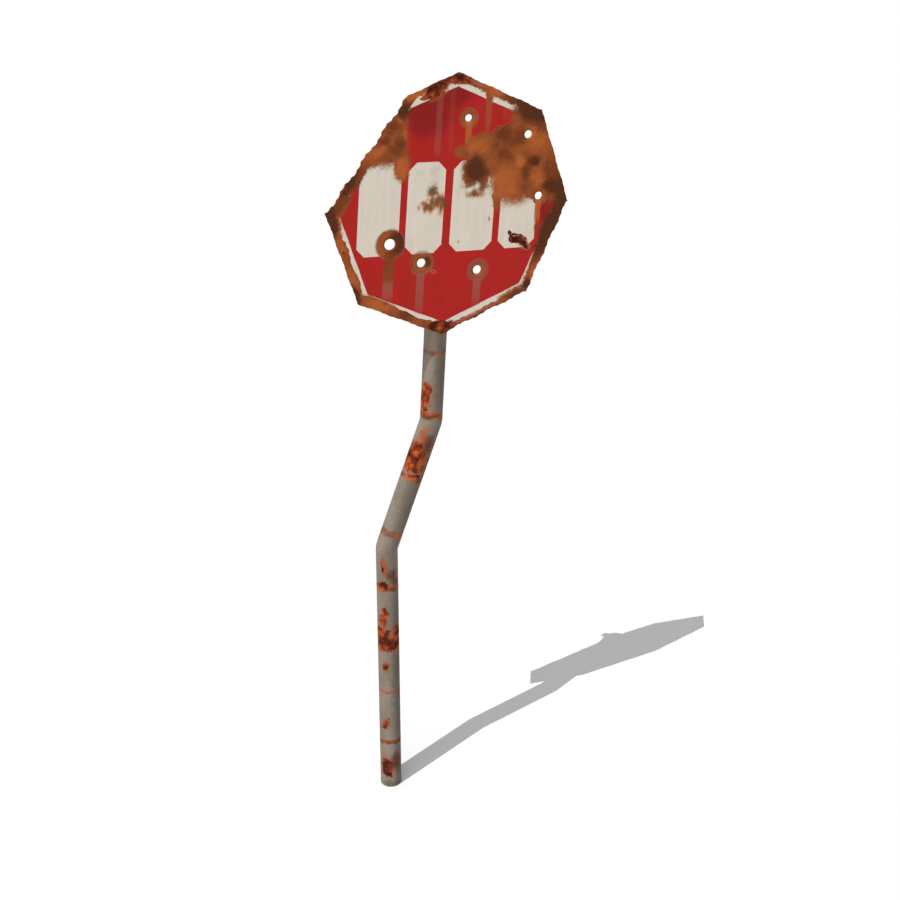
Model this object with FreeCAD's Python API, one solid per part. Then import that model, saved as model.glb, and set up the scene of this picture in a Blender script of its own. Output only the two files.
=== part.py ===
import FreeCAD, Part
import math
import os

# A stop sign on a tube post that has been knocked into two kinks, in millimetres. The origin is
# the centre of the post's cut foot, +Z is up and the sign faces -Y.

Vec = FreeCAD.Vector

# Post: a round steel tube, upright, then leaning, then nearly upright again
post_diameter = 73.0
post_wall = 3.4
lower_length = 964.0
middle_length = 457.5
upper_length = 724.0
top_above_centre = 52.0
middle_lean_deg = 22.0
middle_heading_deg = 5.0
kink_radius = 52.0

# Cap pushed over the post's top
cap_wall = 2.5
cap_skirt = 26.0
cap_height = 6.0
cap_bevel = 3.0
cap_clearance = 0.2

# Sign plate: a corner-up octagon of sheet steel
across_flats = 762.0
plate_gauge = 2.5
lean_back_deg = 3.2
sign_roll_deg = 5.7
turn_on_post_deg = 1.0
broken_share = 0.415
broken_side = 3
worn_sides = (4, 5)
chewed_sides = (6, 7)
edge_tooth_pitch = 9.0
edge_tooth_depth = 4.0
broken_tooth_depth = 12.0
chewed_tooth_depth = 8.0

# Sheeting: a white film on the plate, and a red film on the white one
white_film_gauge = 0.5
red_film_gauge = 0.4
white_margin = 14.0
white_worn_margin = 23.0
red_margin = 40.0
white_broken_margin = 32.0
red_broken_margin = 35.0
film_tooth_pitch = 13.0
least_scrap_area = 2500.0
white_tooth_depth = 12.0
red_tooth_depth = 1.6

# Legend: four plain chamfered blocks left open in the red film
block_height = 285.0
block_chamfer = 26.0
block_spans = [(-305.0, -168.0), (-146.0, -22.0), (4.0, 150.0), (172.0, 300.0)]

# Shot holes: place across, place up, hole radius and the radius of bare metal around it
shot_holes = [
    (43.4, 271.1, 11.5, 28.0),
    (251.7, 214.9, 12.5, 34.0),
    (305.6, 19.9, 12.5, 26.0),
    (-193.9, -108.1, 17.5, 44.0),
    (-84.7, -173.2, 14.0, 34.0),
    (109.7, -207.2, 14.0, 27.0),
]
dish_width = 9.0
dish_depth = 3.6
dish_knee_share = 0.4
lip_height = 4.2
lip_root_share = 0.1
petal_count = 7
petal_flare = 1.06
petal_step = 23.0

# Places where rust has thrown the films off: across, up, half length, half height, turn in degrees
bare_patches = [
    (262.0, 192.0, 104.0, 78.0, -20.0),
    (146.0, 174.0, 72.0, 32.0, 12.0),
    (80.0, 118.0, 26.0, 30.0, 30.0),
    (232.0, 84.0, 78.0, 54.0, -8.0),
    (372.0, 120.0, 64.0, 130.0, 0.0),
    (398.0, -20.0, 40.0, 110.0, 8.0),
    (350.0, -128.0, 170.0, 31.0, 67.5),
    (-234.0, 236.0, 50.0, 108.0, -30.0),
    (-202.0, 192.0, 34.0, 46.0, -20.0),
    (-173.0, 136.0, 13.0, 36.0, 8.0),
    (-338.0, 88.0, 124.0, 24.0, 52.0),
    (-222.0, -306.0, 84.0, 27.0, -22.5),
    (-20.0, -386.0, 42.0, 22.0, 0.0),
    (-78.0, 350.0, 46.0, 12.0, 24.0),
    (12.0, 390.0, 58.0, 17.0, -4.0),
    (108.0, 346.0, 10.0, 30.0, 4.0),
    (-396.0, -20.0, 26.0, 70.0, 20.0),
]
patch_points = 24
patch_least_swell = 0.88
patch_more_swell = 0.24

# How rust bites along an edge: a slow wave and a quick one
slow_bite = 0.30
slow_bite_step = 17.0
slow_bite_start = 0.6
quick_bite = 0.20
quick_bite_step = 4.3

# Torn chip in the films, low on the last block
torn_chip = [(212, -94), (222, -102), (252, -104), (264, -116), (278, -128), (286, -148),
             (270, -151), (256, -134), (240, -128), (222, -126)]

# Rails: lipped channel spot-welded to the plate's back, open side to the post
rail_width = 41.3
rail_depth = 20.6
rail_gauge = 2.5
rail_lip = 9.5
rail_return = 7.2
rail_bend = 2.0
rail_length = 450.0
rail_levels = {"upper": 0.0, "lower": -258.0}

# Plastic caps in the rails' ends
end_cap_flange = 2.5
end_cap_plug = 16.0
end_cap_wall = 2.5
end_cap_clearance = 0.3

# Post clamps: two hooked straps to a rail, drawn together behind the post by one bolt
strap_gauge = 2.5
strap_width = 32.0
strap_clearance = 0.2
hook_neck = 19.0
hook_height = 6.0
hook_clearance = 0.3
ear_gap = 7.0
ear_length = 21.0
ear_bend = 5.0

# Clamp bolts and nuts
bolt_diameter = 8.0
bolt_hole_clearance = 0.5
bolt_length = 26.0
bolt_end_chamfer = 0.9
hex_across_flats = 13.0
head_height = 5.3
nut_height = 6.5
hex_chamfer = 0.8
thread_clearance = 0.05

# Worked out from the values above
post_radius = post_diameter / 2
corner_radius = across_flats / 2 / math.cos(math.radians(22.5))
rail_seat = -post_radius
plate_back = rail_seat - rail_depth
plate_front = plate_back - plate_gauge
white_front = plate_front - white_film_gauge
cut_reach = 10.0


def save(name, shape):
    shape.exportStep("parts/" + name + ".step")


def tube_direction():
    lean = math.radians(turn_on_post_deg)
    return Vec(-math.sin(lean), 0, math.cos(lean))


def head_turn():
    back = FreeCAD.Rotation(Vec(1, 0, 0), -lean_back_deg)
    roll = FreeCAD.Rotation(Vec(0, 1, 0), sign_roll_deg)
    return back.multiply(roll)


def post_corners():
    """Foot, first kink, second kink, the point behind the sign's centre and the top."""
    lean = math.radians(middle_lean_deg)
    heading = math.radians(middle_heading_deg)
    aside = math.sin(lean)
    middle = Vec(aside * math.cos(heading), aside * math.sin(heading), math.cos(lean))
    upper = head_turn().multVec(tube_direction())
    foot = Vec(0, 0, 0)
    kink_1 = Vec(0, 0, lower_length)
    kink_2 = kink_1 + middle * middle_length
    behind_centre = kink_2 + upper * upper_length
    top = behind_centre + upper * top_above_centre
    return foot, kink_1, kink_2, behind_centre, top


def head_placement():
    """The sign's own frame: its origin is on the post's axis behind the plate's centre."""
    return FreeCAD.Placement(post_corners()[3], head_turn())


def kink_arc(before, corner, after):
    """The arc of a kink, and the two points where it meets the straight runs."""
    to_before = (before - corner).normalize()
    to_after = (after - corner).normalize()
    half = to_before.getAngle(to_after) / 2
    setback = kink_radius / math.tan(half)
    centre_line = (to_before + to_after).normalize()
    centre = corner + centre_line * (kink_radius / math.sin(half))
    start = corner + to_before * setback
    end = corner + to_after * setback
    middle = centre - centre_line * kink_radius
    return Part.Arc(start, middle, end).toShape(), start, end


def post_path():
    foot, kink_1, kink_2, behind_centre, top = post_corners()
    arc_1, start_1, end_1 = kink_arc(foot, kink_1, kink_2)
    arc_2, start_2, end_2 = kink_arc(kink_1, kink_2, top)
    runs = [
        Part.LineSegment(foot, start_1).toShape(),
        arc_1,
        Part.LineSegment(end_1, start_2).toShape(),
        arc_2,
        Part.LineSegment(end_2, top).toShape(),
    ]
    return Part.Wire(runs)


def swept_rod(radius):
    ring = Part.Wire(Part.Circle(Vec(0, 0, 0), Vec(0, 0, 1), radius).toShape())
    return post_path().makePipeShell([ring], True, False)


def make_post():
    return swept_rod(post_radius).cut(swept_rod(post_radius - post_wall))


def make_post_cap():
    """A pressed cap: a skirt outside the tube and a flat top with a bevelled rim."""
    inner = post_radius + cap_clearance
    outer = inner + cap_wall
    corners = [Vec(0, 0, cap_height), Vec(0, 0, 0), Vec(inner, 0, 0), Vec(inner, 0, -cap_skirt),
               Vec(outer, 0, -cap_skirt), Vec(outer, 0, cap_height - cap_bevel),
               Vec(outer - cap_bevel, 0, cap_height)]
    face = Part.Face(Part.makePolygon(corners + corners[:1]))
    cap = face.revolve(Vec(0, 0, 0), Vec(0, 0, 1), 360)
    top = post_corners()[4]
    upper = head_turn().multVec(tube_direction())
    cap.Placement = FreeCAD.Placement(top, FreeCAD.Rotation(Vec(0, 0, 1), upper))
    return cap


def octagon_corners():
    """The plate's corners as (across, up), without the one that has broken off."""
    def corner(angle_deg):
        angle = math.radians(angle_deg)
        return Vec(corner_radius * math.cos(angle), 0, corner_radius * math.sin(angle))
    broken = corner(90) + (corner(135) - corner(90)) * (1 - broken_share)
    return [corner(0), corner(45), corner(90), broken] + [corner(a) for a in (180, 225, 270, 315)]


def inset(corners, margins):
    """Moves each side inwards by its own margin."""
    lines = []
    for index, start in enumerate(corners):
        along = (corners[(index + 1) % len(corners)] - start).normalize()
        inward = Vec(-along.z, 0, along.x)
        lines.append((start + inward * margins[index], along))
    moved = []
    for index, (point, along) in enumerate(lines):
        before, along_before = lines[index - 1]
        across = Vec(-along_before.z, 0, along_before.x)
        share = (before - point).dot(across) / along.dot(across)
        moved.append(point + along * share)
    return moved


def nibble(distance):
    """How deep rust has bitten at a distance along an edge, from 0 to 1."""
    slow = slow_bite * math.sin(distance / slow_bite_step + slow_bite_start)
    quick = quick_bite * math.sin(distance / quick_bite_step)
    return slow_bite + quick_bite + slow + quick


def ragged(corners, pitch, depths):
    """A closed outline with each side bitten back by its own depth."""
    points = []
    walked = 0.0
    for index, start in enumerate(corners):
        end = corners[(index + 1) % len(corners)]
        length = (end - start).Length
        along = (end - start).normalize()
        inward = Vec(-along.z, 0, along.x)
        steps = max(2, round(length / pitch))
        for step in range(steps):
            distance = length * step / steps
            depth = depths[index] * nibble(walked + distance)
            points.append(start + along * distance + inward * depth)
        walked += length
    return points


def slab(points, front, back):
    """A flat slab between two depths, from an outline in the sign's plane."""
    outline = [Vec(p.x, front, p.z) for p in points]
    face = Part.Face(Part.makePolygon(outline + outline[:1]))
    return face.extrude(Vec(0, back - front, 0))


def ring_points(across, up, radii, depths):
    """Points round a shot hole, two to a petal, going round with the sign's outline."""
    points = []
    for index, (radius, depth) in enumerate(zip(radii, depths)):
        angle = math.pi * index / petal_count
        x = across + radius * math.cos(angle)
        z = up + radius * math.sin(angle)
        points.append(Vec(x, plate_front + depth, z))
    return points


def band(ring_a, ring_b):
    """The triangles that join two rings of points."""
    faces = []
    count = len(ring_a)
    for index in range(count):
        after = (index + 1) % count
        for corners in ((ring_a[index], ring_a[after], ring_b[index]),
                        (ring_b[index], ring_a[after], ring_b[after])):
            faces.append(Part.Face(Part.makePolygon(list(corners) + [corners[0]])))
    return faces


def shot_rings(across, up, radius):
    """Rings of points, from the front edge of the dish round its torn rim to the back edge."""
    count = 2 * petal_count
    knee = radius + dish_width * dish_knee_share
    knee_depth = dish_depth * dish_knee_share
    rim_radii = []
    rim_depths = []
    for index in range(count):
        is_tip = index % 2 == 1
        rise = nibble(petal_step * index + up) if is_tip else lip_root_share
        rim_radii.append(radius * (petal_flare if is_tip else 1))
        rim_depths.append(dish_depth + plate_gauge / 2 + lip_height * rise)
    rim_backs = [rim_radius + plate_gauge / 2 for rim_radius in rim_radii]

    def level_ring(ring_radius, depth):
        return ring_points(across, up, [ring_radius] * count, [depth] * count)

    return [
        level_ring(radius + dish_width, 0),
        level_ring(knee, knee_depth),
        level_ring(radius, dish_depth),
        ring_points(across, up, rim_radii, rim_depths),
        ring_points(across, up, rim_backs, rim_depths),
        level_ring(knee + plate_gauge / 2, plate_gauge + knee_depth),
        level_ring(radius + dish_width, plate_gauge),
    ]


def dished_ring(across, up, radius):
    """The metal round a shot hole: dished in at the front, with torn petals raised at the back."""
    rings = shot_rings(across, up, radius)
    faces = []
    for ring_a, ring_b in zip(rings, rings[1:] + rings[:1]):
        faces += band(ring_a, ring_b)
    ring = Part.Solid(Part.Shell(faces))
    if ring.Volume < 0:
        ring.reverse()
    return ring


def side_values(common, broken, worn=None, chewed=None):
    """One value for each side of the plate, with its own for the broken, worn and chewed sides."""
    values = [common] * 8
    values[broken_side] = broken
    for side in worn_sides:
        values[side] = worn or common
    for side in chewed_sides:
        values[side] = chewed or common
    return values


def make_plate():
    depths = side_values(edge_tooth_depth, broken_tooth_depth, chewed=chewed_tooth_depth)
    outline = ragged(octagon_corners(), edge_tooth_pitch, depths)
    plate = slab(outline, plate_front, plate_back)
    for shot in shot_holes:
        hole = shot[:3]
        plate = plate.cut(slab(shot_rings(*hole)[0], plate_front, plate_back))
        plate = plate.fuse(dished_ring(*hole))
    return plate.removeSplitter()


def blob(across, up, half_length, half_height, turn_deg):
    """A closed outline of a rust patch: an ellipse with a bitten edge."""
    turn = math.radians(turn_deg)
    around = math.pi * (half_length + half_height)
    points = []
    for index in range(patch_points):
        angle = 2 * math.pi * index / patch_points
        swell = patch_least_swell + patch_more_swell * nibble(around * index / patch_points + across)
        along = half_length * swell * math.cos(angle)
        rise = half_height * swell * math.sin(angle)
        x = across + along * math.cos(turn) - rise * math.sin(turn)
        z = up + along * math.sin(turn) + rise * math.cos(turn)
        points.append(Vec(x, 0, z))
    return points


def film_losses():
    """Everything that has gone from both films: rust patches, rings at the shots and the chip."""
    front = plate_front - cut_reach
    losses = [slab(blob(*patch), front, plate_back) for patch in bare_patches]
    for across, up, radius, bare in shot_holes:
        losses.append(slab(blob(across, up, bare, bare, 0), front, plate_back))
    losses.append(slab([Vec(x, 0, z) for x, z in torn_chip], front, plate_back))
    return losses


def largest_pieces(shape, least_volume):
    """Keeps the film that is still stuck down as real pieces and drops crumbs."""
    kept = [solid for solid in shape.Solids if solid.Volume > least_volume]
    return kept[0] if len(kept) == 1 else Part.makeCompound(kept)


def make_white_film(losses):
    margins = side_values(white_margin, white_broken_margin, worn=white_worn_margin)
    depths = side_values(white_tooth_depth, red_tooth_depth)
    outline = ragged(inset(octagon_corners(), margins), film_tooth_pitch, depths)
    film = slab(outline, white_front, plate_front).cut(losses)
    return largest_pieces(film, white_film_gauge * least_scrap_area)


def legend_block(left, right):
    top = block_height / 2
    inner_left, inner_right = left + block_chamfer, right - block_chamfer
    inner_top = top - block_chamfer
    return [
        Vec(inner_left, 0, -top), Vec(inner_right, 0, -top),
        Vec(right, 0, -inner_top), Vec(right, 0, inner_top),
        Vec(inner_right, 0, top), Vec(inner_left, 0, top),
        Vec(left, 0, inner_top), Vec(left, 0, -inner_top),
    ]


def make_red_film(losses):
    margins = side_values(red_margin, red_broken_margin)
    depths = side_values(red_tooth_depth, red_tooth_depth)
    outline = ragged(inset(octagon_corners(), margins), film_tooth_pitch, depths)
    film = slab(outline, white_front - red_film_gauge, white_front)
    blocks = [slab(legend_block(*span), plate_front - cut_reach, plate_back) for span in block_spans]
    film = film.cut(losses + blocks)
    return largest_pieces(film, red_film_gauge * least_scrap_area)


def rail_section(left):
    """The lipped channel's section in the Y-Z plane, web on the plate and lips to the post."""
    half = rail_width / 2
    inner = half - rail_gauge
    back, web = rail_seat, plate_back
    lip = half - rail_lip
    points = [
        (web, -half), (back, -half), (back, -lip), (back - rail_return, -lip),
        (back - rail_return, -lip - rail_gauge), (back - rail_gauge, -lip - rail_gauge),
        (back - rail_gauge, -inner), (web + rail_gauge, -inner),
        (web + rail_gauge, inner), (back - rail_gauge, inner),
        (back - rail_gauge, lip + rail_gauge), (back - rail_return, lip + rail_gauge),
        (back - rail_return, lip), (back, lip), (back, half), (web, half),
    ]
    return [Vec(left, y, z) for y, z in points]


def make_rail(level):
    section = rail_section(-rail_length / 2)
    rail = Part.Face(Part.makePolygon(section + section[:1])).extrude(Vec(rail_length, 0, 0))
    half = rail_width / 2
    outer_bends = [
        edge for edge in rail.Edges
        if abs(edge.Length - rail_length) < 0.01 and abs(abs(edge.CenterOfMass.z) - half) < 0.01
    ]
    rail = rail.makeFillet(rail_bend, outer_bends)
    rail.translate(Vec(0, 0, level))
    return rail


def make_rail_cap(level, side):
    """A plastic cap: a flange over the rail's end and a hollow plug inside it."""
    half = rail_width / 2
    end = rail_length / 2
    flange = Part.makeBox(end_cap_flange, rail_depth, rail_width, Vec(end, plate_back, -half))
    upright = [edge for edge in flange.Edges if abs(edge.Length - end_cap_flange) < 0.01]
    flange = flange.makeFillet(rail_bend, upright)
    inner = half - rail_gauge - end_cap_clearance
    depth = rail_depth - rail_gauge - rail_return - 2 * end_cap_clearance
    front = plate_back + rail_gauge + end_cap_clearance
    plug = Part.makeBox(end_cap_plug, depth, 2 * inner, Vec(end - end_cap_plug, front, -inner))
    hollow = Part.makeBox(
        end_cap_plug, depth - 2 * end_cap_wall, 2 * (inner - end_cap_wall),
        Vec(end - end_cap_plug - end_cap_wall / 2, front + end_cap_wall, end_cap_wall - inner))
    cap = flange.fuse(plug.cut(hollow)).removeSplitter()
    if side < 0:
        cap = cap.mirror(Vec(0, 0, 0), Vec(1, 0, 0))
    cap.translate(Vec(0, 0, level))
    return cap


def strap_half():
    """One hooked strap on the +X side of the post, centred on the post's axis, post along Z."""
    inner = post_radius + strap_clearance
    outer = inner + strap_gauge
    low = -strap_width / 2
    ear_face = ear_gap / 2
    ring = Part.makeCylinder(outer, strap_width, Vec(0, 0, low))
    ring = ring.cut(Part.makeCylinder(inner, strap_width, Vec(0, 0, low)))
    ring = ring.common(Part.makeBox(outer, outer, strap_width, Vec(ear_face, 0, low)))
    hook_back = rail_seat - rail_return - hook_clearance
    hook_front = hook_back - hook_height
    leg = Part.makeBox(strap_gauge, -hook_front, strap_width, Vec(inner, hook_front, low))
    ear_start = math.sqrt(inner ** 2 - ear_face ** 2)
    ear_end = outer + ear_length
    ear = Part.makeBox(strap_gauge, ear_end - ear_start, strap_width, Vec(ear_face, ear_start, low))
    strap = ring.fuse([leg, ear]).removeSplitter()
    strap = round_ear_root(strap)
    for side in (-1, 1):
        strap = strap.cut(hook_notch(inner, hook_back, side))
    bolt_hole = Part.makeCylinder(
        bolt_diameter / 2 + bolt_hole_clearance, 4 * strap_gauge,
        Vec(ear_face - strap_gauge, bolt_level(), 0), Vec(1, 0, 0))
    return strap.cut(bolt_hole)


def round_ear_root(strap):
    """Bends the outer corner where the ear leaves the round."""
    outer = post_radius + strap_clearance + strap_gauge
    ear_outer = ear_gap / 2 + strap_gauge
    root = math.sqrt(outer ** 2 - ear_outer ** 2)
    edges = [
        edge for edge in strap.Edges
        if abs(edge.Length - strap_width) < 0.01
        and abs(edge.CenterOfMass.x - ear_outer) < 0.05
        and abs(edge.CenterOfMass.y - root) < 0.05
    ]
    return strap.makeFillet(ear_bend, edges) if edges else strap


def hook_notch(inner, hook_back, side):
    """Narrows the strap to a neck where it goes between the rail's lips."""
    neck = hook_neck / 2
    height = rail_seat + 2 * hook_clearance - hook_back
    cheek = strap_width / 2 - neck
    corner = neck if side > 0 else -strap_width / 2
    return Part.makeBox(3 * strap_gauge, height, cheek, Vec(inner - strap_gauge, hook_back, corner))


def bolt_level():
    return post_radius + strap_clearance + strap_gauge + ear_bend + hex_across_flats * 0.65


def hex_prism(height):
    """A hexagon across Y and Z, from X = 0 to its height, with its far corners turned off."""
    corner = hex_across_flats / math.sqrt(3)
    points = []
    for index in range(6):
        angle = math.radians(60 * index)
        points.append(Vec(0, corner * math.cos(angle), corner * math.sin(angle)))
    prism = Part.Face(Part.makePolygon(points + points[:1])).extrude(Vec(height, 0, 0))
    cone_tip = corner + height - hex_chamfer * 0.4
    cone = Part.makeCone(cone_tip, 0.0, cone_tip, Vec(0, 0, 0), Vec(1, 0, 0))
    return prism.common(cone)


def make_bolt():
    """Head on the -X ear, shank through both ears towards +X."""
    seat = ear_gap / 2 + strap_gauge
    head = hex_prism(head_height).mirror(Vec(0, 0, 0), Vec(1, 0, 0))
    shank = Part.makeCylinder(bolt_diameter / 2, bolt_length, Vec(0, 0, 0), Vec(1, 0, 0))
    tip = [e for e in shank.Edges if abs(e.CenterOfMass.x - bolt_length) < 0.01 and e.Closed]
    shank = shank.makeChamfer(bolt_end_chamfer, tip)
    bolt = head.fuse(shank).removeSplitter()
    bolt.translate(Vec(-seat, bolt_level(), 0))
    return bolt


def make_nut():
    seat = ear_gap / 2 + strap_gauge
    bore = Part.makeCylinder(
        bolt_diameter / 2 + thread_clearance, nut_height * 2, Vec(-1, 0, 0), Vec(1, 0, 0))
    nut = hex_prism(nut_height).cut(bore)
    nut.translate(Vec(seat, bolt_level(), 0))
    return nut


def clamp_placement(level):
    """Where a clamp sits on the post at a rail's level, in the sign's frame."""
    direction = tube_direction()
    seat = direction * (level / direction.z)
    return FreeCAD.Placement(seat, FreeCAD.Rotation(Vec(0, 0, 1), direction))


def put(shape, placement):
    moved = shape.copy()
    moved.Placement = placement.multiply(moved.Placement)
    return moved


def main():
    os.makedirs("parts", exist_ok=True)
    head = head_placement()
    losses = film_losses()
    save("post", make_post())
    save("post_cap", make_post_cap())
    save("sign_plate", put(make_plate(), head))
    save("white_sheeting", put(make_white_film(losses), head))
    save("red_sheeting", put(make_red_film(losses), head))
    right_strap = strap_half()
    left_strap = right_strap.mirror(Vec(0, 0, 0), Vec(1, 0, 0))
    clamp_pieces = {
        "clamp_left": left_strap,
        "clamp_right": right_strap,
        "clamp_bolt": make_bolt(),
        "clamp_nut": make_nut(),
    }
    for rail_name, level in rail_levels.items():
        save(rail_name + "_rail", put(make_rail(level), head))
        for side_name, side in (("left", -1), ("right", 1)):
            save(rail_name + "_rail_cap_" + side_name, put(make_rail_cap(level, side), head))
        clamp = head.multiply(clamp_placement(level))
        for piece_name, piece in clamp_pieces.items():
            save(rail_name + "_" + piece_name, put(piece, clamp))


main()
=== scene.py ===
import math

import bmesh
import bpy
from mathutils import Matrix, Vector


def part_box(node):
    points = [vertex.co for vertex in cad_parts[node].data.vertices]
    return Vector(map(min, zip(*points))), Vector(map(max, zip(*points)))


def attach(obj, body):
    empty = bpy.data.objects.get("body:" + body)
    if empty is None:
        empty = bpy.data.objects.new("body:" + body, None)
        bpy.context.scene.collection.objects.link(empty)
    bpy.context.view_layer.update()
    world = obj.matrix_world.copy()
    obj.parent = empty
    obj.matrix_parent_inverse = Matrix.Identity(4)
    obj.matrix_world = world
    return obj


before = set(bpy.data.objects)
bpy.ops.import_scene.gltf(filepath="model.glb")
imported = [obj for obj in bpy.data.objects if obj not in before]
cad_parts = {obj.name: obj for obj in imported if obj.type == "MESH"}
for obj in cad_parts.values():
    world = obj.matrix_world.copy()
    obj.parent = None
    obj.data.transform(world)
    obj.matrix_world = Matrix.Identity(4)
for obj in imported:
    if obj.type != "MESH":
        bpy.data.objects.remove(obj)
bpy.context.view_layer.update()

bl_info = {
    "name": "Rusted Stop Sign",
    "version": (1, 0, 0),
    "blender": (4, 5, 0),
    "location": "View3D > Sidebar > Sign",
    "description": "Dresses a bent, shot and rusted stop sign and sets its stage",
    "category": "Object",
}

MM = 0.001
ENDS = ("upper", "lower")
SIDES = ("left", "right")

# How closely the lobes of thick crust lie
CRUST_SCALE = 0.038
# How strongly each finish mirrors the light
FILM_SHEEN = 0.14
RUST_SHEEN = 0.12
POST_SHEEN = 0.15
PLATED_SHEEN = 0.2
PLASTIC_SHEEN = 0.3
# Depths of relief, in metres
SHEET_PITS = 0.0015
STRAP_PITS = 0.001
BOLT_PITS = 0.0004
CRUST_LUMPS = 0.004
FILM_RIPPLE = 0.0012
ZINC_WAVES = 0.001
PLATED_WAVES = 0.0008
FINE_GRAIN = 0.0003
# Soft edges of a run-off stain, in millimetres: at its sides, its head and its foot
RUN_SIDE = 1.5
RUN_HEAD = 4
RUN_FOOT = 36
# The darkest rust in a ring, in shares of the ring's radius: how far it lies aside and above the
# middle, and how much taller than wide it is
DARK_ASIDE = 0.62
DARK_ABOVE = 0.1
DARK_TALLNESS = 1.2
# Half width and half height of a ring on the plate's back, in shares of its radius on the front
BACK_RING = (0.8, 0.9)
# Depths between which the front's finish gives way to the back's, in shares of the plate's gauge
BACK_EDGE = (0.7, 0.95)
# Where the rust in the torn chip starts to brighten and where it is brightest, across the sign
CHIP_DULL = 250
CHIP_BRIGHT = 284
# Heights on the sign between which the smudges' thin edges turn from grey to tan
SMUDGE_GREY_ABOVE = 58
SMUDGE_TAN_BELOW = 30
# How far noise pushes the edges of the marks on the post, in millimetres
POST_WANDER = 34


def srgb(red, green, blue):
    """A colour picked on a screen, as the linear light that shaders work in."""
    def linear(value):
        share = value / 255
        return share / 12.92 if share <= 0.04045 else ((share + 0.055) / 1.055) ** 2.4
    return (linear(red), linear(green), linear(blue))


def colour(name, words, red, green, blue):
    return bpy.props.FloatVectorProperty(
        name=name, description=words, subtype="COLOR", size=3, min=0, max=1,
        default=srgb(red, green, blue))


def length(name, words, millimetres):
    return bpy.props.FloatProperty(
        name=name, description=words, subtype="DISTANCE", unit="LENGTH", min=0,
        default=millimetres * MM)


def angle(name, words, degrees):
    return bpy.props.FloatProperty(
        name=name, description=words, subtype="ANGLE", unit="ROTATION",
        default=math.radians(degrees))


class SignSizes(bpy.types.PropertyGroup):
    """Sizes of the finish and of the small pieces that are added to the frame."""

    lower_rail_drop: length("Lower rail drop", "From the plate's centre down to the lower rail", 258)
    rail_depth: length("Rail depth", "Depth of the rails behind the plate", 20.6)
    plate_gauge: length("Plate gauge", "Thickness of the sign's sheet steel", 2.5)
    post_radius: length("Post radius", "Outside radius of the post", 36.5)
    first_kink: length("First kink", "Height of the post's first kink", 964)
    middle_run: length("Middle run", "Length of post between the two kinks", 457.5)
    middle_lean: angle("Middle lean", "Lean of the post between the kinks", 22)
    middle_heading: angle("Middle heading", "Where the middle run leans to, from +X to +Y", 5)
    turn_on_post: angle("Turn on post", "How far the sign has slipped round on its post", 1)
    bolt_offset: length("Bolt offset", "From the post's centre back to a clamp bolt's centre", 52.65)
    thread_start: length("Thread start", "Where a bolt comes out of its nut, beside the post's centre", 12.4)
    thread_radius: length("Thread radius", "Radius of the thread's root", 3.95)
    thread_pitch: length("Thread pitch", "From one turn of the thread to the next", 1.25)
    thread_height: length("Thread height", "Radius of the ridge that makes the thread", 0.42)
    film_gauge: length("Film gauge", "Thickness of a curl of torn film", 0.4)


class SignColours(bpy.types.PropertyGroup):
    """Colours of the sign's films, steel, zinc and rust."""

    red_film: colour("Red film", "Faded red sheeting", 172, 30, 25)
    red_deep: colour("Deep red", "Red sheeting where it has darkened", 136, 22, 20)
    white_film: colour("White film", "Yellowed white sheeting", 215, 205, 191)
    white_dirty: colour("Dirty white", "White sheeting under grime", 182, 164, 142)
    rust_dark: colour("Dark rust", "Old dark scale", 84, 43, 22)
    rust_brown: colour("Brown rust", "Settled brown rust", 116, 58, 28)
    rust_tan: colour("Tan rust", "Rust between brown and orange", 146, 76, 37)
    rust_orange: colour("Orange rust", "Fresh orange rust", 176, 93, 44)
    # Crust colours: in each lobe of crust they run from orange in its middle to red-brown and maroon at its
    # edges and creases, partly the crust's own colour and partly painted shade
    crust_dark: colour("Dark crust", "Maroon gaps in thick crust", 62, 17, 8)
    crust_red: colour("Red crust", "Red-brown flanks of thick crust", 128, 50, 24)
    crust_bright: colour("Bright crust", "Orange faces of thick crust", 186, 84, 34)
    wash_pink: colour("Pink wash", "Pale run-off stain on the red film", 148, 84, 72)
    wash_rose: colour("Rose wash", "Stained edge of the white border", 160, 92, 78)
    smudge: colour("Smudge", "Brown scuffs on the white film", 102, 60, 32)
    smudge_grey: colour("Grey smudge", "Thin edge of a brown scuff", 158, 138, 112)
    smudge_tan: colour("Tan smudge", "Thin edge of a rust-coloured scuff", 188, 130, 86)
    torn_edge: colour("Torn edge", "Pale edge of torn film", 176, 138, 122)
    halo_grey: colour("Grey halo", "Bruised film round the shots", 124, 84, 72)
    zinc: colour("Zinc", "Weathered galvanised steel", 136, 125, 113)
    zinc_dull: colour("Dull zinc", "Galvanised steel gone brown-grey", 119, 109, 97)
    # Dark zinc is grime on the zinc and the chalk on the rail caps; on the post it is also painted shade
    # down the front and right of the runs
    zinc_dark: colour("Dark zinc", "Grime on galvanised steel", 76, 64, 52)
    cap_black: colour("Cap black", "Chalked black plastic", 38, 37, 36)


class StageSettings(bpy.types.PropertyGroup):
    """Levels of the light and of the floor."""

    sun_strength: bpy.props.FloatProperty(
        name="Sun", description="Strength of the light that casts the shadow", default=2.7, min=0)
    fill_strength: bpy.props.FloatProperty(
        name="Fill", description="Strength of the soft light from the front left", default=1.0, min=0)
    sky_strength: bpy.props.FloatProperty(
        name="Sky", description="Level of the even light from all round", default=0.42, min=0)
    floor_glow: bpy.props.FloatProperty(
        name="Floor lift", description="Light added to the floor that the camera sees",
        default=0.035, min=0)
    floor_share: bpy.props.FloatProperty(
        name="Floor share", description="Share of the light that the seen floor gives back",
        default=0.75, min=0, max=1)
    floor_tone: colour("Floor", "Pale floor as the object's own light meets it", 205, 205, 205)


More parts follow.
